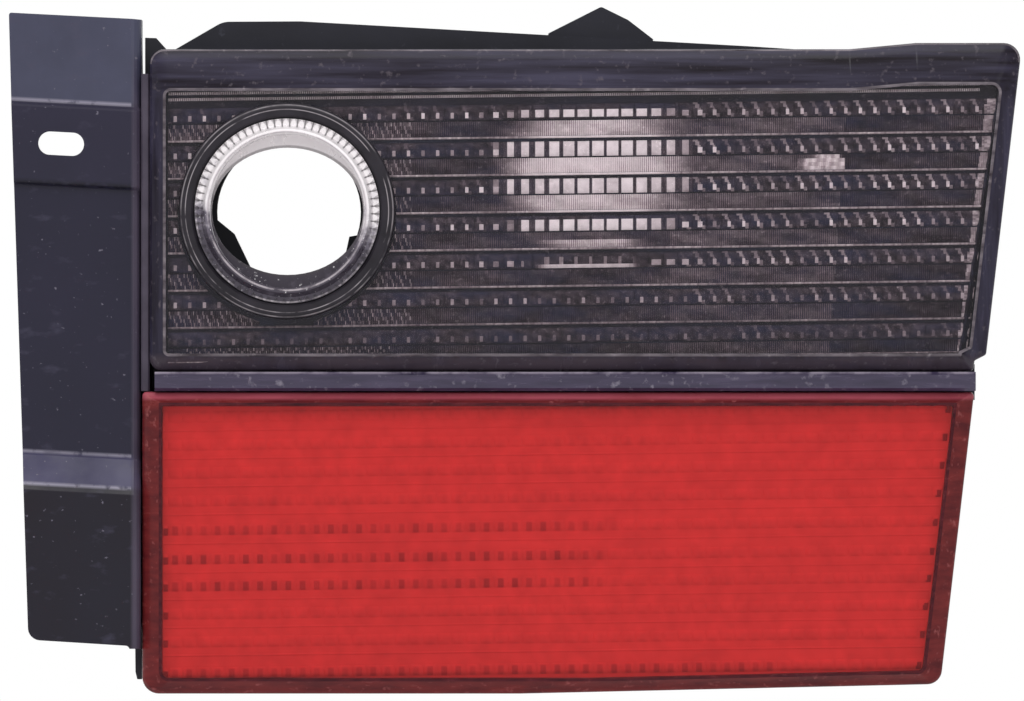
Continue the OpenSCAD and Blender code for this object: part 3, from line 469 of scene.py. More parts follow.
def plated(name, dark, light, roughness, brush=(1, 1, 1)):
    """Bare or plated metal with fine stains and tool marks."""
    paint = Paint(name, roughness[0], metallic=1.0)
    stain = paint.noise(150, 5)
    marks = paint.noise(350, 3, brush)
    tone = paint.ramp(stain, [(0.32, dark), (0.68, light)])
    paint.colour(paint.mix(paint.range(marks, 0.3, 0.7, 0, 0.25), tone, dark))
    paint.rough(marks, *roughness)
    paint.bump(marks, 0.01, 0.25)
    return paint


def collar_metal():
    """Bright foil-silver ring, lit above and in painted shade over its lower third and towards the left, as
    in the photo.
    """
    paint = Paint("bright_silver", 0.3, metallic=0.35, specular=0.6)
    # Painted shade: the tone darkens lower down and towards the left, its edge wobbled by noise
    height = paint.between(paint.axis("Z"), -14, 4)
    shade_and_roughness_noise = paint.noise(260, 5)
    edge = paint.math("ADD", height, paint.range(shade_and_roughness_noise, 0.3, 0.7, -0.25, 0.25))
    edge = paint.math("ADD", edge, paint.between(paint.axis("X"), -12, -21, 0, -0.34))
    tone = paint.ramp(edge, [(0.1, (0.06, 0.05, 0.07)), (0.38, (0.16, 0.14, 0.18)),
                             (0.6, (0.62, 0.58, 0.62)), (0.82, (0.92, 0.87, 0.89))])
    speck = paint.range(paint.noise(1500, 2), 0.66, 0.76)
    lit_and_shaded_silver = paint.mix(speck, tone, (0.95, 0.93, 0.95))
    # Ticks: painted shade in the slots between the teeth, from the funnel's edge outwards, and a lighter
    # painted shade on the slots' floors outside the rim's wall
    turn = paint.times(paint.math("ARCTAN2", paint.axis("Z"), paint.axis("X")), TICK_COUNT / (2 * math.pi))
    place = paint.math("PINGPONG", paint.math("ADD", turn, TICK_COUNT - 0.625), 0.5)
    outside = paint.times(paint.between(paint.radius(), FUNNEL_R, FUNNEL_R + 0.4),
                          paint.range(height, 0.35, 0.6))
    slot_shade = paint.times(paint.times(paint.range(place, 0.12, 0.07), outside), 0.75)
    wall = paint.times(paint.between(paint.axis("Y"), RIM_Y, RIM_Y + 0.2),
                       paint.between(paint.radius(), RIM_R, RIM_R + 0.15))
    dark = paint.math("MAXIMUM", slot_shade, paint.times(wall, 0.2))
    # Painted shade along the lip of the oval hole in the collar's floor
    x, z = (paint.math("DIVIDE", paint.axis(a), r * MM) for a, r in zip("XZ", OVAL))
    lip = paint.times(paint.range(paint.length(x, z), 1.05, 1.03),
                      paint.between(paint.axis("Y"), OVAL_Y, OVAL_Y + 0.4))
    dark = paint.math("MAXIMUM", dark, paint.times(lip, 0.55))
    broken = paint.range(paint.noise(240, 4), 0.36, 0.56)
    for middle, width in ((19.05, 0.3), (21.9, 0.26)):
        lit_and_shaded_silver = paint.mix(paint.times(paint.ring_line(middle, width, broken), 0.7), lit_and_shaded_silver, (0.62, 0.56, 0.6))
    paint.colour(paint.mix(dark, lit_and_shaded_silver, (0.07, 0.06, 0.07)))
    paint.rough(shade_and_roughness_noise, 0.22, 0.42)
    paint.bump(paint.noise(700, 3), 0.02, 0.3)
    return paint


def ringed_rubber():
    """Rubber of the lock hole's ring, with painted highlights along two thin beads of (radius, width, tone).
    """
    paint = Paint("ring_rubber", 0.5, specular=0.25)
    cloud = paint.noise(150, 4)
    base = paint.ramp(cloud, [(0.3, (0.010, 0.008, 0.012)), (0.7, (0.026, 0.022, 0.030))])
    broken = paint.range(paint.noise(120, 5), 0.42, 0.56)
    for middle, width, tone in ((24.4, 0.16, 0.3), (25.45, 0.2, 0.22)):
        line = paint.ring_line(middle, width, broken)
        base = paint.mix(line, base, (tone, 0.9 * tone, 0.97 * tone))
    paint.colour(base)
    paint.rough(cloud, 0.35, 0.6)
    paint.bump(paint.noise(900, 3), 0.02, 0.3)
    return paint


def gloss_strip():
    """Glossy moulding, with a painted highlight along its upper edge and dust in its middle."""
    paint = Paint("gloss_moulding", 0.24, specular=0.4, coat=0.15, coat_roughness=0.08)
    along = paint.noise(60, 5, (1, 1, 8))
    fleck = paint.range(paint.noise(520, 4), 0.6, 0.74)
    base = paint.ramp(along, [(0.3, (0.024, 0.018, 0.044)), (0.7, (0.060, 0.046, 0.092))])
    base = paint.mix(fleck, base, (0.17, 0.15, 0.2))
    # Painted highlight along the upper edge, patchy
    upper = paint.between(paint.axis("Z"), px_z(374) - 0.2, px_z(373))
    patchy = paint.times(upper, paint.range(paint.noise(170, 5, (1, 1, 0.3)), 0.36, 0.56))
    paint.colour(paint.mix(patchy, base, (0.30, 0.26, 0.33)))
    paint.rough(along, 0.16, 0.34)
    paint.bump(paint.noise(700, 2), 0.01, 0.25)
    return paint


def clear_skin(name, tint, gloss=0.045):
    """Polished clear plastic: what lies behind shows through its tint, and its face mirrors a little."""
    paint = Paint(name, gloss)
    through = paint.node("ShaderNodeBsdfTransparent")
    haze = paint.noise(220, 4)
    tone = paint.ramp(haze, [(0.3, tuple(0.93 * c for c in tint)), (0.7, tint)])
    paint.link(tone, through.inputs["Color"])
    face = paint.node("ShaderNodeBsdfGlossy")
    set_inputs(face, Color=(1, 1, 1, 1), Roughness=gloss)
    fresnel = paint.node("ShaderNodeFresnel")
    set_inputs(fresnel, IOR=1.3)
    geometry = paint.node("ShaderNodeNewGeometry")
    front = paint.math("SUBTRACT", 1.0, geometry.outputs["Backfacing"])
    both = paint.node("ShaderNodeMixShader")
    paint.link(paint.times(fresnel.outputs[0], front), both.inputs[0])
    paint.link(through.outputs[0], both.inputs[1])
    paint.link(face.outputs[0], both.inputs[2])
    paint.link(both.outputs[0], paint.output.inputs["Surface"])
    paint.tree.nodes.remove(paint.bsdf)
    return paint


def glow_relief():
    """Inside of the smoked lens, with light painted into its colour. The light attribute is each facet's
    share of the bowl's shine, and a bluish painted sheen lies where that is low.
    """
    paint = Paint("smoked_optics", 0.5, specular=0.1)
    light = paint.attribute("light")
    grain = paint.noise(620, 4)
    wide = paint.noise(64, 5, (1, 1, 3))
    stirred = paint.math("ADD", light, paint.range(grain, 0.3, 0.7, -0.05, 0.07))
    stirred = paint.math("ADD", stirred, paint.range(paint.noise(1300, 2), 0.6, 0.75, 0, 0.2))
    tone = paint.ramp(stirred, [
        (0.0, (0.010, 0.007, 0.011)), (0.12, (0.030, 0.022, 0.030)), (0.3, (0.115, 0.088, 0.104)),
        (0.5, (0.27, 0.22, 0.235)), (0.75, (0.57, 0.49, 0.50)), (1.0, (0.93, 0.85, 0.85))])
    # Bluish painted sheen, patchy, where little of the bowl's shine falls
    bluish_sheen = paint.times(paint.range(wide, 0.42, 0.62), paint.range(light, 0.0, 0.4, 0.8, 0.0))
    paint.colour(paint.mix(bluish_sheen, tone, (0.026, 0.030, 0.070)))
    paint.rough(grain, 0.4, 0.6)
    return paint


def lens_liner():
    """Smooth dark walls of the smoked lens."""
    paint = Paint("smoked_wall", 0.34, specular=0.15)
    cloud = paint.noise(38, 5, (1, 1, 4))
    speck = paint.range(paint.noise(640, 4), 0.62, 0.76)
    base = paint.ramp(cloud, [(0.3, (0.012, 0.008, 0.014)), (0.52, (0.02, 0.017, 0.032)),
                              (0.72, (0.028, 0.034, 0.064))])
    paint.colour(paint.mix(speck, base, (0.11, 0.09, 0.11)))
    paint.rough(cloud, 0.3, 0.45)
    return paint


def lens_rim(name, dark, light, fleck, fineness, band=None, streaks=False):
    """Polished rim and skirt of a lens, too thick to see through.

    A band, given as the heights where its tone starts and is full, has a tone of its own. Streaks run
    along the top, and up and down elsewhere.
    """
    paint = Paint(name, 0.22, specular=0.16)
    cloud = paint.noise(fineness, 5, (1, 1, 4))
    if streaks:
        upright, level = (paint.noise(fineness, 5, stretch) for stretch in ((3, 1, 0.3), (0.2, 1, 3.6)))
        upper = paint.between(paint.axis("Z"), LENS_TOP - TOP_BAND - 3, LENS_TOP - TOP_BAND)
        cloud = paint.mix(upper, upright, level)
    base = paint.ramp(cloud, [(0.32, dark), (0.7, light)])
    if band:
        z0, z1, tone = band
        patchy = paint.range(paint.noise(190, 4, (0.3, 1, 1)), 0.3, 0.6, 0.55, 1)
        base = paint.mix(paint.times(paint.between(paint.axis("Z"), z0, z1), patchy), base, tone)
    paint.colour(paint.mix(paint.range(paint.noise(560, 4), 0.6, 0.76, 0, 0.7), base, fleck))
    paint.rough(cloud, 0.16, 0.3)
    return paint


def red_relief():
    """Inside of the red lens. The shade attribute darkens the gaps between its optics."""
    paint = Paint("red_optics", 0.5, specular=0.15)
    shade_value = paint.attribute("shade")
    cloud = paint.noise(20, 4, (1, 1, 5))
    fine = paint.noise(420, 4, (1, 1, 2))
    base = paint.ramp(cloud, [(0.3, (0.645, 0.138, 0.145)), (0.7, (0.70, 0.155, 0.155))])
    fleck = paint.mix(paint.range(fine, 0.6, 0.8, 0, 0.3), base, (0.86, 0.24, 0.24))
    paint.colour(paint.mix(shade_value, fleck, (0.16, 0.02, 0.04)))
    paint.rough(fine, 0.4, 0.6)
    return paint


def red_frame():
    """Dark red step round the optics of the lower lens."""
    paint = Paint("red_edge", 0.4, specular=0.2)
    cloud = paint.noise(160, 5, (1, 1, 0.4))
    paint.colour(paint.ramp(cloud, [(0.32, (0.07, 0.016, 0.03)), (0.68, (0.19, 0.05, 0.075))]))
    paint.rough(cloud, 0.3, 0.5)
    return paint


def clear_glass():
    paint = Paint("bulb_glass", 0.03, specular=0.5)
    set_inputs(paint.bsdf, Transmission_Weight=1.0)
    smear = paint.noise(240, 3)
    paint.colour(paint.ramp(smear, [(0.3, (0.93, 0.95, 0.96)), (0.7, (0.98, 0.99, 0.99))]))
    paint.rough(smear, 0.02, 0.07)
    return paint


black = moulded("black_moulding", (0.010, 0.010, 0.016), (0.020, 0.020, 0.030), (0.42, 0.58), 0.3)
grey = moulded("grey_moulding", (0.045, 0.045, 0.05), (0.075, 0.075, 0.085), (0.4, 0.55))
paint_finish = painted_sheet()
ring_rubber = ringed_rubber()
black_rubber = rubber("black_rubber", (0.012, 0.012, 0.016), (0.028, 0.028, 0.034), 0.55)
bead = rubber("sealing_bead", (0.04, 0.04, 0.043), (0.07, 0.07, 0.075), 0.6)
zinc = plated("zinc_plate", (0.44, 0.42, 0.33), (0.72, 0.7, 0.6), (0.25, 0.45))
brass = plated("brass", (0.5, 0.34, 0.14), (0.76, 0.57, 0.28), (0.24, 0.42))
contact = plated("tinned_brass", (0.5, 0.42, 0.26), (0.78, 0.68, 0.45), (0.22, 0.4), brush=(1, 6, 1))
wire = plated("tungsten_wire", (0.18, 0.18, 0.19), (0.36, 0.36, 0.37), (0.3, 0.5), brush=(5, 1, 1))
mirror = plated("metallised_bowl", (0.7, 0.68, 0.7), (0.88, 0.86, 0.88), (0.06, 0.16))
silver = collar_metal()
strip = gloss_strip()
foam_finish = foam()
packing = rubber("packing_foam", (0.045, 0.036, 0.056), (0.085, 0.070, 0.100), 0.6)
glass = clear_glass()
smoked_skin = clear_skin("smoked_skin", (0.965, 0.95, 0.965))
red_skin = clear_skin("red_skin", (0.985, 0.62, 0.62))
smoked_rim = lens_rim("smoked_rim", (0.005, 0.002, 0.006), (0.042, 0.037, 0.068), (0.12, 0.1, 0.12), 110,
                      band=(UPPER_BOTTOM + 4.5, UPPER_BOTTOM + 2.5, (0.058, 0.044, 0.058)), streaks=True)
# Painted highlight line for the smoked lens's fine edge and the top of its shoulder
smoked_highlight_line = lens_rim("smoked_highlight_line", (0.035, 0.027, 0.035), (0.22, 0.19, 0.215), (0.34, 0.3, 0.32), 110)
# The red rim's band is a painted highlight along the lens's top edge
red_rim = lens_rim("red_rim", (0.085, 0.009, 0.012), (0.19, 0.022, 0.022), (0.34, 0.09, 0.09), 90,
                   band=(LOWER_TOP - 2.2, LOWER_TOP - 1.4, (0.38, 0.075, 0.105)))
# Painted shade line for the red lens's fine edge
red_shade_line = lens_rim("red_shade_line", (0.034, 0.004, 0.008), (0.105, 0.012, 0.018), (0.2, 0.05, 0.06), 160)
smoked_relief = glow_relief()
smoked_wall = lens_liner()
red_inside = red_relief()
red_edge = red_frame()

# Finish of each CAD node that stays, and the width of its round edges in millimetres
CAD_FINISHES = {
    "housing": (black, 0.45), "divider_strip": (strip, 0.25), "side_bracket": (paint_finish, 0.3),
    "lock_collar": (silver, 0.12), "lock_seal": (ring_rubber, 0.15), "locating_hook": (black, 0.3),
    "hook_screw": (zinc, 0.12), "upper_reflector": (mirror, 0), "lower_reflector": (mirror, 0),
    "upper_lens_seal": (bead, 0), "lower_lens_seal": (bead, 0),
    "reverse_bulb_glass": (glass, 0), "fog_bulb_glass": (glass, 0),
    "reverse_bulb_base": (brass, 0.15), "fog_bulb_base": (brass, 0.15),
    "reverse_bulb_filament": (wire, 0), "fog_bulb_filament": (wire, 0),
    "reverse_holder": (grey, 0.25), "fog_holder": (grey, 0.25),
    "reverse_holder_seal": (black_rubber, 0.2), "fog_holder_seal": (black_rubber, 0.2),
    "reverse_contacts": (contact, 0.08), "fog_contacts": (contact, 0.08),
    "body_gasket": (foam_finish, 0.5), "stud_seals": (black_rubber, 0.2),
    "bracket_screws": (zinc, 0.12), "reflector_screws": (zinc, 0.12), "vent_caps": (black_rubber, 0.3),
}


def dress_cad_nodes():
    """Gives each node that stays its finish and, where it shows, small round edges."""
    for name, (finish, edge) in CAD_FINISHES.items():
        piece = nodes[name]
        piece.data.materials.clear()
        piece.data.materials.append(finish.material)
        if edge:
            bevel = piece.modifiers.new("round_edges", "BEVEL")
            bevel.width = edge * MM
            bevel.segments = 2
            bevel.limit_method = "ANGLE"
            bevel.angle_limit = math.radians(35)
            bevel.harden_normals = bevel.use_clamp_overlap = True


# Lens skins and walls

def lens_skin(name, outline, radii, face_in, shoulder_in, hole, finishes, node):
    """Thin tray over the moulding's outer faces: a clear face, its fine edge, and a dark rim and skirt. The
    fine edge, and on the smoked lens the top of the shoulder's turn, take a painted line: a painted
    highlight on the smoked lens, painted shade on the red one.
    """
    side = [0] * len(outline)
    t = SHELL_T
    bm = bmesh.new()
    tray(bm, rings(outline, radii, [
        (face_in, EDGE_W, 2.2, 0),
        (face_in, 0, 1.5, EDGE_D),
        (shoulder_in, 0.35, 0.7, SHOULDER_D - 0.2),
        (shoulder_in, -0.4, 0.4, SHOULDER_D + 0.3),
        (side, LINE_IN, 0.2, SHOULDER_D + 0.7),
        (side, 0.12, 0, SHOULDER_D + TURN_D - 0.2),
        (side, 0, 0, SHOULDER_D + TURN_D + 0.4),
        (side, 0, 0, SKIRT_D - LIP_D),
        (side, t, t, SKIRT_D - LIP_D),
        (side, t, t, SHOULDER_D + TURN_D + 0.4),
        (shoulder_in, t, 1 + t, SHOULDER_D + t),
        (face_in, EDGE_W, 1.5 + t, t)]), hole)
    for f in bm.faces:
        depths = [v.co.y for v in f.verts]
        near, far = min(depths), max(depths)
        line = far < EDGE_D + 0.08
        if near > SHOULDER_D + 0.65 and far < SHOULDER_D + TURN_D - 0.1:
            line = f.calc_center_median().z > LENS_TOP - 6
        f.material_index = 0 if far - near < 0.01 and near < 1 else 1 if line else 2
    # Large faces keep their own normals, so that only the narrow turns between them shade softly
    weighted = new_piece(name, bm, finishes, [node], 40).modifiers.new("weighted", "WEIGHTED_NORMAL")
    weighted.weight = 100
    weighted.keep_sharp = True


def lens_walls(outline, radii, face_in, shoulder_in):
    """Rings of the opaque tray that stands inside a skin: outside from the front back, then inside."""
    gap = SHELL_T + 0.06
    t = 1.0
    side = [0] * len(outline)
    return rings(outline, radii, [
        (face_in, 0.9, 2.4, RELIEF_BASE_Y),
        (face_in, 0.25, 2.2, gap + 0.35),
        (shoulder_in, gap + 0.1, 1 + gap, SHOULDER_D + gap),
        (side, gap, gap, SHOULDER_D + TURN_D + 0.5),
        (side, gap, gap, SKIRT_D - LIP_D + 0.02),
        (side, 0, 0, SKIRT_D - LIP_D + 0.02),
        (side, 0, 0, SKIRT_D),
        (side, gap + t, gap + t, SKIRT_D),
        (side, gap + t, gap + t, SHOULDER_D + TURN_D + 1.5),
        (face_in, 1.9, 2.4, RELIEF_BASE_Y + 1.2)])


def tray(bm, outlines, hole_r=0, steps=96):
    """Closed tray through outlines that run back along the outside and forward along the inside."""
    if not hole_r:
        return loft(bm, outlines)
    made = [[bm.verts.new(p) for p in outline] for outline in outlines]
    bands(bm, made)
    turns = [2 * math.pi * k / steps for k in range(steps)]
    circles = [[bm.verts.new((hole_r * math.cos(a), y, hole_r * math.sin(a))) for a in turns]
               for y in (outlines[0][0][1], outlines[-1][0][1])]
    bands(bm, circles)
    for pair in ((made[0], circles[0]), (made[-1], circles[1])):
        edges = [bm.edges.get((line[i], line[(i + 1) % len(line)]))
                 for line in pair for i in range(len(line))]
        bmesh.ops.triangle_fill(bm, edges=edges, use_beauty=True, use_dissolve=False)


# Optics inside the lenses

# The rows climb to the right, about a middle column
ROW_TILT = math.tan(math.radians(0.72))
TILT_X = 73
CELL_W = 3.5
CELL_H = 3.6
FLUTE_W = 0.5
LEDGE_H = 0.5
ROW_PITCH = 8.95
FIRST_ROW_Z = 24.0
ROW_COUNT = 7
# Middle and half sizes of the painted glow that the bowl's shine makes
GLOW_X, GLOW_Z, GLOW_RX, GLOW_RZ = 73.9, 10.3, 24.5, 23.5
ROWS_LEFT = -28.6
# Free radius round the lock hole
CLEAR_R = 26.2
# Half of a dot as a share of its cell, and where slanted strokes begin
DOT_HALF = 0.11
STROKES_FROM = 96
DOTS = 61
# Strength of the dots by row, and the row that shines between its bars, about a column of its own
DOT_STRENGTH = (1, 1, 1, 0.95, 0.85, 0.7, 0.5)
BLOCKS_ROW, BLOCKS_X = 4, 72


def smooth(low, high, value):
    t = min(1, max(0, (value - low) / (high - low)))
    return t * t * (3 - 2 * t)


def glow(x, z, reach=(0.55, 1.1)):
    """Share of the bowl's shine at a place on the smoked lens."""
    d = math.hypot((x - GLOW_X) / GLOW_RX, (z - GLOW_Z) / GLOW_RZ)
    return 1 - smooth(*reach, d)


# Columns of the photo and half the share of a cell that shines there
BAR_WIDTHS = [(480, 0.14), (504, 0.21), (577, 0.40), (625, 0.40), (665, 0.31), (708, 0.13), (765, 0.08)]


def bar_half(x, row):
    """Half the share of a cell that shines, widest over the bowl's middle."""
    px = x / PX + LOCK_PX[0]
    if row > 4 or not BAR_WIDTHS[0][0] < px < BAR_WIDTHS[-1][0]:
        return DOT_HALF
    for (left, a), (right, b) in zip(BAR_WIDTHS, BAR_WIDTHS[1:]):
        if px <= right:
            return a + (b - a) * (px - left) / (right - left)


def cell_columns(first, last, row):
    """Places along X that cut each cell at the edges of its bar or dot."""
    places = []
    for k in range(math.floor((first - ROWS_LEFT) / CELL_W), math.ceil((last - ROWS_LEFT) / CELL_W)):
        half = bar_half(ROWS_LEFT + CELL_W * (k + 0.5), row)
        for u in (0, 0.25 - half / 2, 0.5 - half, 0.5 - half / 3,
                  0.5 + half / 3, 0.5 + half, 0.78 + half / 2):
            places.append(ROWS_LEFT + CELL_W * (k + u))
    return places


def wobble(a, b=0.0):
    """Smooth repeatable variation between 0 and 1."""
    return 0.5 + 0.25 * math.sin(1.7 * a + 2.3 * b) + 0.25 * math.sin(0.61 * a - 1.13 * b + 1.2)


def row_limits(z, side):
    """Ends of a row left or right of the lock hole at one height."""
    reach = math.sqrt(CLEAR_R ** 2 - z * z) if abs(z) < CLEAR_R else 0
    if side < 0:
        return ROWS_LEFT, -reach
    return (reach if reach else ROWS_LEFT), end_x(z) - ROW_END_IN


def share(x, pitch):
    """Place of x within its cell of a pitch, from 0 to 1."""
    return (x - ROWS_LEFT) / pitch % 1


def columns(first, last, pitch, parts):
    """Places along X that cut every cell of a pitch into equal parts."""
    start = math.floor((first - ROWS_LEFT) / pitch)
    stop = math.ceil((last - ROWS_LEFT) / pitch)
    return [ROWS_LEFT + pitch * k / parts for k in range(start * parts, stop * parts + 1)]


def relief(bm, layer, xs, zs, limits, height, light):
    """Closed block whose front follows height(x, z), with a light value on each facet."""
    def facet(value, *corners):
        f = bm.faces.new(corners)
        f[layer] = value
        f.material_index = 1

    front = []
    for z in zs:
        low, high = limits(z)
        front.append([bm.verts.new((x, height(x, z), z + ROW_TILT * (x - TILT_X)))
                      for x in (min(max(x, low), high) for x in xs)])
    for j in range(len(zs) - 1):
        for i in range(len(xs) - 1):
            facet(light((xs[i] + xs[i + 1]) / 2, (zs[j] + zs[j + 1]) / 2),
                  front[j][i], front[j][i + 1], front[j + 1][i + 1], front[j + 1][i])
    rim = front[0] + [r[-1] for r in front[1:]] + front[-1][-2::-1] + [r[0] for r in front[-2:0:-1]]
    back = [bm.verts.new((v.co.x, RELIEF_BACK_Y, v.co.z)) for v in rim]
    n = len(rim)
    for i in range(n):
        facet(0.02, rim[(i + 1) % n], rim[i], back[i], back[(i + 1) % n])
    facet(0, *back)


def split_row(bm, layer, top, low, ends_z, places, zs, height, light):
    """Relief of one row, in two parts where the lock hole splits it."""
    for side in (-1, 1) if low < CLEAR_R and top > -CLEAR_R else (1,):
        first, last = row_limits(ends_z, side)
        relief(bm, layer, places(first - 2, last + 2), zs,
               lambda z, side=side: row_limits(z, side), height, light)


def cell_light(row, dots):
    """Light of one row of cells: bright bars in the glow, dots and slanted strokes outside it."""
    z_top = FIRST_ROW_Z - row * ROW_PITCH + CELL_H / 2
    strength = DOT_STRENGTH[row]

    def light(x, z):
        cell = math.floor((x - ROWS_LEFT) / CELL_W)
        u = share(x, CELL_W) - 0.5
        v = (z_top - z) / CELL_H
        middle = ROWS_LEFT + CELL_W * (cell + 0.5)
        g = glow(middle, z_top - CELL_H / 2, (0.84, 1.14))
        chance = dots[cell % DOTS]
        inside = abs(u) < bar_half(middle, row)
        level = (1 if 0.36 < v < 0.88 else 0, 1, 1, 1 if v > 0.25 else 0, 0, 0, 0)[row]
        value = 0.09 + 0.1 * wobble(0.7 * x, 1.3 * z)
        if row == BLOCKS_ROW:
            blocks = 1 - smooth(9, 14, abs(x - BLOCKS_X))
            if v > 0.76:
                value = max(value, 0.85 * blocks)
            elif v > 0.2:
                value = max(value, (0.05 if inside else 0.5) * blocks)
        if inside and level:
            value = max(value, g * (0.88 + 0.12 * chance) * (1 - 0.22 * smooth(82, 104, x)))
        elif g > 0.25 and row != BLOCKS_ROW:
            value = 0.1 + 0.13 * g * (1 if level else 0.4)
        if g < 0.75 and (row != BLOCKS_ROW or abs(x - BLOCKS_X) > 15):
            if inside and 0.5 < v < 0.88:
                value = max(value, (0.46 + 0.5 * chance) * strength)
            slant = u + 0.34 - 0.62 * v
            if x > STROKES_FROM and abs(slant) < 0.13:
                value = max(value, (0.26 + 0.3 * chance) * strength)
            elif x <= STROKES_FROM and chance > 0.55 and abs(slant) < 0.1:
                value = max(value, 0.27 * strength)
        if x > end_x(z) - FROST_IN:
            value = max(value, 0.36 + 0.4 * wobble(3 * z, x))
        return value
    return light


# Painted highlights, pale patches behind the optics, as columns and rows of the photo
HIGHLIGHT_PATCHES = [(797, 845, 158, 172), (812, 840, 156, 160)]
# Light of the band under each row, in the middle of the glow
BAND_LIGHT = [0.56, 0.78, 0.6, 0.32, 0.15, 0.06, 0.04]


def band_light(row, z_top, z_low):
    """Light of the fluted band under a row of cells."""

    def light(x, z):
        g = glow(x, z)
        side = 1 if share(x, FLUTE_W) < 0.5 else -1
        v = (z_top - z) / (z_top - z_low)
        centre = 1 - min(1, abs(x - TILT_X) / 30)
        level = BAND_LIGHT[row] * (0.62 + 0.5 * centre)
        if row == BLOCKS_ROW - 1:
            level = 0.12 if v < 0.55 else 0.92 * (1 - smooth(9, 17, abs(x - BLOCKS_X + 1)))
        dim = 0.105 + 0.16 * wobble(0.23 * x, 0.7 * z) * (1 - 0.5 * smooth(3, 6, row))
        # Right edge of the bowl, which leans: left of it a painted sheen, right of it painted shade
        bowl_edge = px_x(845) - (px_z(135) - z) * 0.07
        if STROKES_FROM - 4 < x < bowl_edge:
            dim += 0.08
        elif x > bowl_edge:
            dim *= 0.8
        value = dim + g * level
        # Painted shading of the flutes: the faces on one side of each are lighter, those on the other darker
        value *= 1 + side * (0.16 + 0.16 * (1 - centre))
        for left, right, top, low in HIGHLIGHT_PATCHES:
            if px_x(left) < x < px_x(right) and px_z(low) < z + ROW_TILT * (x - TILT_X) < px_z(top):
                edge = smooth(px_x(left), px_x(left) + 3, x)
                value = max(value, (0.62 + 0.36 * wobble(2.1 * x, 2.7 * z)) * (0.4 + 0.6 * edge))
        # Painted highlights: pale specks round the lock hole
        if math.hypot(x, z) < 41 and x < 30:
            value += 0.36 * smooth(0.62, 0.9, wobble(5.1 * x, 4.3 * z))
        if x > end_x(z) - FROST_IN:
            value = max(value, 0.36 + 0.42 * wobble(3 * z, x))
        return value
    return light


def cell_height(top):
    """Crowned cells of the row with this top."""
    base = RELIEF_BASE_Y - 0.25

    def height(x, z):
        u = share(x, CELL_W)
        v = (top - z) / CELL_H
        if not (0 < v < 1 and 0 < u < 1):
            return base
        return base - 0.75 * math.sin(math.pi * u) ** 0.6 * math.sin(math.pi * v) ** 0.4
    return height


def flute_height(x, z):
    return RELIEF_BASE_Y - 0.35 - (0.2 if 0.25 < share(x, FLUTE_W) < 0.75 else 0)


def ledge(row, top):
    """Height and light of the thin ledge under a row."""
    def height(x, z):
        return RELIEF_FRONT_Y + 0.35 * min(1, abs(top - LEDGE_H / 2 - z) / 0.3)

    def light(x, z):
        g = glow(x, z) if row < 4 else 0
        dash = 0.8 + 0.4 * wobble(9 * x, row)
        far = 1 - 0.35 * smooth(3, 6, row)
        return max((0.45 + 0.27 * wobble(0.3 * x, 5 * row)) * dash * far, g * 0.95)
    return height, light


def upper_relief(bm, layer):
    """Rows of crowned cells, fluted bands and thin ledges, as in the solid but at their full fineness."""
    for row in range(ROW_COUNT):
        middle = FIRST_ROW_Z - row * ROW_PITCH
        top, low = middle + CELL_H / 2, middle - CELL_H / 2
        dots = [random.random() for _ in range(DOTS)]
        split_row(bm, layer, top, low, middle, lambda a, b: cell_columns(a, b, row),
                  [top - CELL_H * k / 8 for k in range(9)], cell_height(top), cell_light(row, dots))

        top = low - 0.35
        low = low - (ROW_PITCH - CELL_H) + 1.35 if row < ROW_COUNT - 1 else low - 3.2
        split_row(bm, layer, top, low, (top + low) / 2, lambda a, b: columns(a, b, FLUTE_W, 2),
                  [top + (low - top) * k / 4 for k in range(5)], flute_height, band_light(row, top, low))

        top = low - 0.05
        split_row(bm, layer, top, top - LEDGE_H, top, lambda a, b: columns(a, b, FLUTE_W, 1),
                  [top, top - LEDGE_H / 2, top - LEDGE_H], *ledge(row, top))


def top_beads(bm, layer):
    """Double line of fine beads along the top of the optics, with a painted highlight on their crests."""
    def height(x, z):
        return RELIEF_BASE_Y - 0.3 - 0.35 * math.sin(math.pi * share(x, FLUTE_W))

    def light(x, z):
        return 0.72 + 0.24 * wobble(0.3 * x) if 0.25 < share(x, FLUTE_W) < 0.75 else 0.34

    right = end_x(29) - 9
    for top in (px_z(87), px_z(93)):
        relief(bm, layer, columns(ROWS_LEFT, end_x(top) - 9, FLUTE_W, 4), [top, top - 0.35, top - 0.7],
               lambda z: (ROWS_LEFT, right), height, light)


def smoked_lens():
    lens_skin("smoked_lens_skin", UPPER_OUTLINE, UPPER_RADII, UPPER_FACE_IN, UPPER_SHOULDER_IN,
              LENS_HOLE_R, [smoked_skin, smoked_highlight_line, smoked_rim], "upper_lens")
    inner = [UPPER_OUTLINE[i] for i in INNER_CORNERS]
    radii = [UPPER_RADII[i] for i in INNER_CORNERS]
    face_in = [UPPER_FACE_IN[i] for i in INNER_EDGES]
    shoulder_in = [UPPER_SHOULDER_IN[i] for i in INNER_EDGES]
    bm = bmesh.new()
    layer = bm.faces.layers.float.new("light")
    tray(bm, lens_walls(inner, radii, face_in, shoulder_in), LENS_HOLE_R)
    upper_relief(bm, layer)
    top_beads(bm, layer)
    new_piece("smoked_lens_optics", bm, [smoked_wall, smoked_relief], ["upper_lens"], 30)


# Rows of the photo with cells of the red lens, and how dark their gaps are
RED_ROWS = [(412, 0.05), (440, 0.14), (468, 0.06), (496, 0.16), (525, 0.5), (554, 0.62), (581, 0.62),
            (609, 0.08), (637, 0.06), (668, 0.5)]
RED_CELL_W = 3.4
RED_CELL_H = 2.6
RED_IN = 5.1


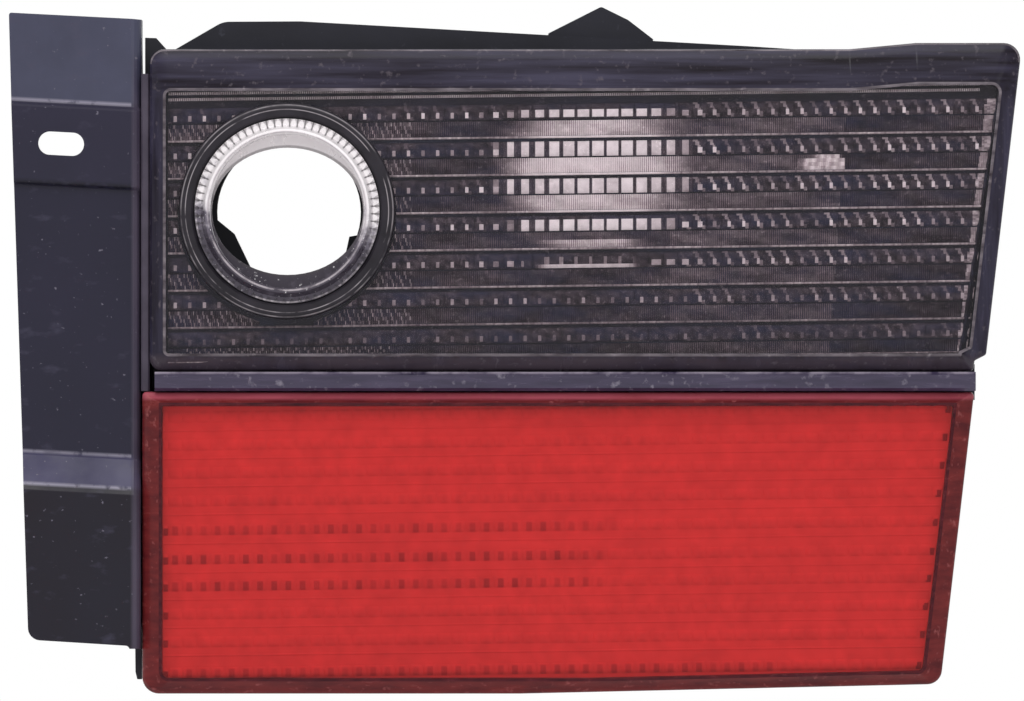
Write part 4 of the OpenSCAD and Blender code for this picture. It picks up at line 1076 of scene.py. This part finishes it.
def lower_relief(bm, layer):
    """Rows of small cells in the red lens, whose gaps show darker towards the left and the middle."""
    def limits(z):
        return -LOWER_LEFT + RED_IN, end_x(z) - LOWER_SHORT - RED_IN

    for py, depth in RED_ROWS:
        top = px_z(py) + RED_CELL_H / 2
        dots = [random.random() for _ in range(DOTS)]

        def light(x, z):
            u = share(x, RED_CELL_W) - 0.5
            v = (top - z) / RED_CELL_H
            first, last = limits(z)
            if x < first + 1.1 and py > 520 or x > last - 1.1:
                return 0.75 * (0.4 < v < 0.95)
            reach = 1 - smooth(66, 82, x) if py < 620 else 1 - smooth(112, 126, x)
            if py < 500:
                reach = smooth(56, 66, x) * (1 - smooth(86, 94, x)) if py < 450 else reach
            chance = dots[math.floor((x - ROWS_LEFT) / RED_CELL_W) % DOTS]
            dot = 1 if abs(u) < 0.2 and 0.2 < v < 0.95 else 0.22
            return dot * depth * (0.12 + 0.88 * reach) * (0.5 + 0.5 * chance)

        def height(x, z):
            u = share(x, RED_CELL_W)
            v = min(1, max(0, (top - z) / RED_CELL_H))
            return RELIEF_BASE_Y - 0.08 - 0.42 * math.sin(math.pi * u) ** 0.6 * math.sin(math.pi * v) ** 0.5

        low_x, high_x = limits(top)
        zs = [top - RED_CELL_H * k / 6 for k in range(7)]
        relief(bm, layer, columns(low_x - 4, high_x + 2, RED_CELL_W, 10), zs, limits, height, light)
        ledge_z = top - RED_CELL_H - 2

        def ledge_height(x, z):
            return RELIEF_BASE_Y - 0.04 - 0.12 * max(0, 1 - abs(ledge_z - z) / 0.3)

        if py < RED_ROWS[-1][0]:
            zs = [ledge_z + 0.3, ledge_z, ledge_z - 0.3]
            relief(bm, layer, columns(low_x - 4, high_x + 2, RED_CELL_W, 1), zs, limits, ledge_height,
                   lambda x, z: 0.03)


def red_lens():
    lens_skin("red_lens_skin", LOWER_OUTLINE, LOWER_RADII, LOWER_FACE_IN, LOWER_SHOULDER_IN,
              0, [red_skin, red_shade_line, red_rim], "lower_lens")
    bm = bmesh.new()
    layer = bm.faces.layers.float.new("shade")
    walls = tray(bm, lens_walls(LOWER_OUTLINE, LOWER_RADII, LOWER_FACE_IN, LOWER_SHOULDER_IN))
    walls[0].material_index = 1
    lower_relief(bm, layer)
    new_piece("red_lens_optics", bm, [red_edge, red_inside], ["lower_lens"], 30)


def web_packing():
    """Foam strip that closes the slit between the side plate's web and the housing, with a lip in front."""
    bm = bmesh.new()
    left, right = WEB_X + 0.02, -LEFT_REACH + 0.48
    front, back = PACKING_Y
    corners = [(left, front + 0.6), (left + 0.6, front), (right - 0.6, front), (right, front + 0.6),
               (right, back - 0.6), (right - 0.6, back), (left + 0.6, back), (left, back - 0.6)]
    loft(bm, [[(x, y, z) for x, y in corners] for z in (PACKING_LOW, -70, -40, -10, PACKING_TOP)])
    right = -LEFT_REACH - 0.06
    front, back = PACKING_LIP_Y
    corners = [(left, front + 0.4), (left + 0.4, front), (right - 0.4, front),
               (right, front + 0.4), (right, back), (left, back)]
    loft(bm, [[(x, y, z) for x, y in corners] for z in (LOWER_TOP + 0.2, -10, PACKING_TOP)])
    new_piece("web_packing", bm, [packing], (), 30)


# Threaded studs

def thread(bm, centre, y0, y1, crest, pitch=0.8, steps=24):
    """Closed shaft with a helical thread of one start."""
    depth = 0.6 * pitch
    rows = []
    count = int((y1 - y0) / pitch * 4)
    for k in range(count + 1):
        y = y0 + (y1 - y0) * k / count
        line = []
        for i in range(steps):
            a = 2 * math.pi * i / steps
            phase = ((y - y0) / pitch - i / steps) % 1
            fade = min(1, (y - y0) / pitch, (y1 - y) / pitch)
            r = crest - depth * fade * (1 - abs(2 * phase - 1))
            r -= 0.5 * smooth(y1 - 1, y1, y)
            line.append((centre[0] + r * math.cos(a), y, centre[1] + r * math.sin(a)))
        rows.append(line)
    loft(bm, rows)


def studs():
    """The CAD's studs, with a head, a plain neck and a real thread each."""
    low, high = (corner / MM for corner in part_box("mounting_studs"))
    core = 0.05
    neck = [(core, NECK_Y), (NECK_R, NECK_Y), (NECK_R, THREAD_Y), (core, THREAD_Y)]
    head = [(core, HEAD_Y), (HEAD_R - 0.3, HEAD_Y), (HEAD_R, HEAD_Y + 0.3), (HEAD_R, NECK_Y), (core, NECK_Y)]
    bm = bmesh.new()
    for x in (low.x + HEAD_R, high.x - HEAD_R):
        for z in (low.z + HEAD_R, high.z - HEAD_R):
            thread(bm, (x, z), THREAD_Y, high.y, STUD_R)
            turned(bm, neck, (x, z))
            turned(bm, head, (x, z))
    new_piece("threaded_studs", bm, [zinc], ["mounting_studs"], 40)


# Stage, lights and camera, in metres

LAMP_MIDDLE = Vector((0.055, 0, -0.035))
FLOOR_Z = -0.175


def stage():
    bm = bmesh.new()
    bmesh.ops.create_circle(bm, cap_ends=True, segments=128, radius=3.0)
    mesh = bpy.data.meshes.new("floor")
    bm.to_mesh(mesh)
    bm.free()
    floor = add("floor", mesh)
    floor.location = (LAMP_MIDDLE.x, 0, FLOOR_Z)
    paint = Paint("pale_floor", 0.9, specular=0.2)
    cloud = paint.noise(6, 3)
    paint.colour(paint.ramp(cloud, [(0.3, (0.88, 0.88, 0.88)), (0.7, (0.92, 0.92, 0.92))]))
    mesh.materials.append(paint.material)


def world():
    """White to the camera and in reflections, and a little dimmer as a lamp."""
    made = bpy.data.worlds.new("studio")
    bpy.context.scene.world = made
    made.use_nodes = True
    tree = made.node_tree
    background = tree.nodes["Background"]
    set_inputs(background, Color=(1, 1, 1, 1))
    path = tree.nodes.new("ShaderNodeLightPath")
    first, second = (tree.nodes.new("ShaderNodeMath") for _ in range(2))
    strength = tree.nodes.new("ShaderNodeMapRange")
    first.operation = second.operation = "MAXIMUM"
    set_inputs(strength, To_Min=0.72)
    for source, socket in ((path.outputs["Is Camera Ray"], first.inputs[0]),
                           (path.outputs["Is Glossy Ray"], first.inputs[1]),
                           (path.outputs["Is Transmission Ray"], second.inputs[0]),
                           (first.outputs[0], second.inputs[1]),
                           (second.outputs[0], strength.inputs["Value"]),
                           (strength.outputs["Result"], background.inputs["Strength"])):
        tree.links.new(source, socket)


def area_light(name, azimuth, elevation, distance, size, radiance):
    """Soft lamp at a direction from the lamp's middle; azimuth 0 is in front of it."""
    az, el = math.radians(azimuth), math.radians(elevation)
    towards = Vector((math.sin(az) * math.cos(el), -math.cos(az) * math.cos(el), math.sin(el)))
    data = bpy.data.lights.new(name, "AREA")
    data.shape = "RECTANGLE"
    data.size, data.size_y = size
    data.energy = radiance * math.pi * size[0] * size[1]
    lamp = add(name, data)
    lamp.location = LAMP_MIDDLE + towards * distance
    lamp.rotation_euler = (-towards).to_track_quat("-Z", "Y").to_euler()


def camera():
    """Straight on, from so far that the lamp's depth hardly shows, and as wide as the photo."""
    distance = 5.0
    data = bpy.data.cameras.new("camera")
    data.sensor_width = 36
    data.lens = data.sensor_width * distance / (PHOTO_W * PX * MM)
    data.clip_end = 20
    view = add("camera", data)
    view.location = (px_x(PHOTO_W / 2) * MM, -distance, px_z(PHOTO_MIDDLE) * MM)
    view.rotation_euler = (math.pi / 2, 0, 0)
    bpy.context.scene.camera = view


bpy.context.scene.view_settings.view_transform = "Standard"
camera()
world()
stage()
area_light("key", -12, 58, 1.1, (0.9, 0.42), 4.0)
area_light("fill", 20, 27, 1.6, (0.7, 0.3), 1.6)
dress_cad_nodes()
smoked_lens()
red_lens()
studs()
web_packing()
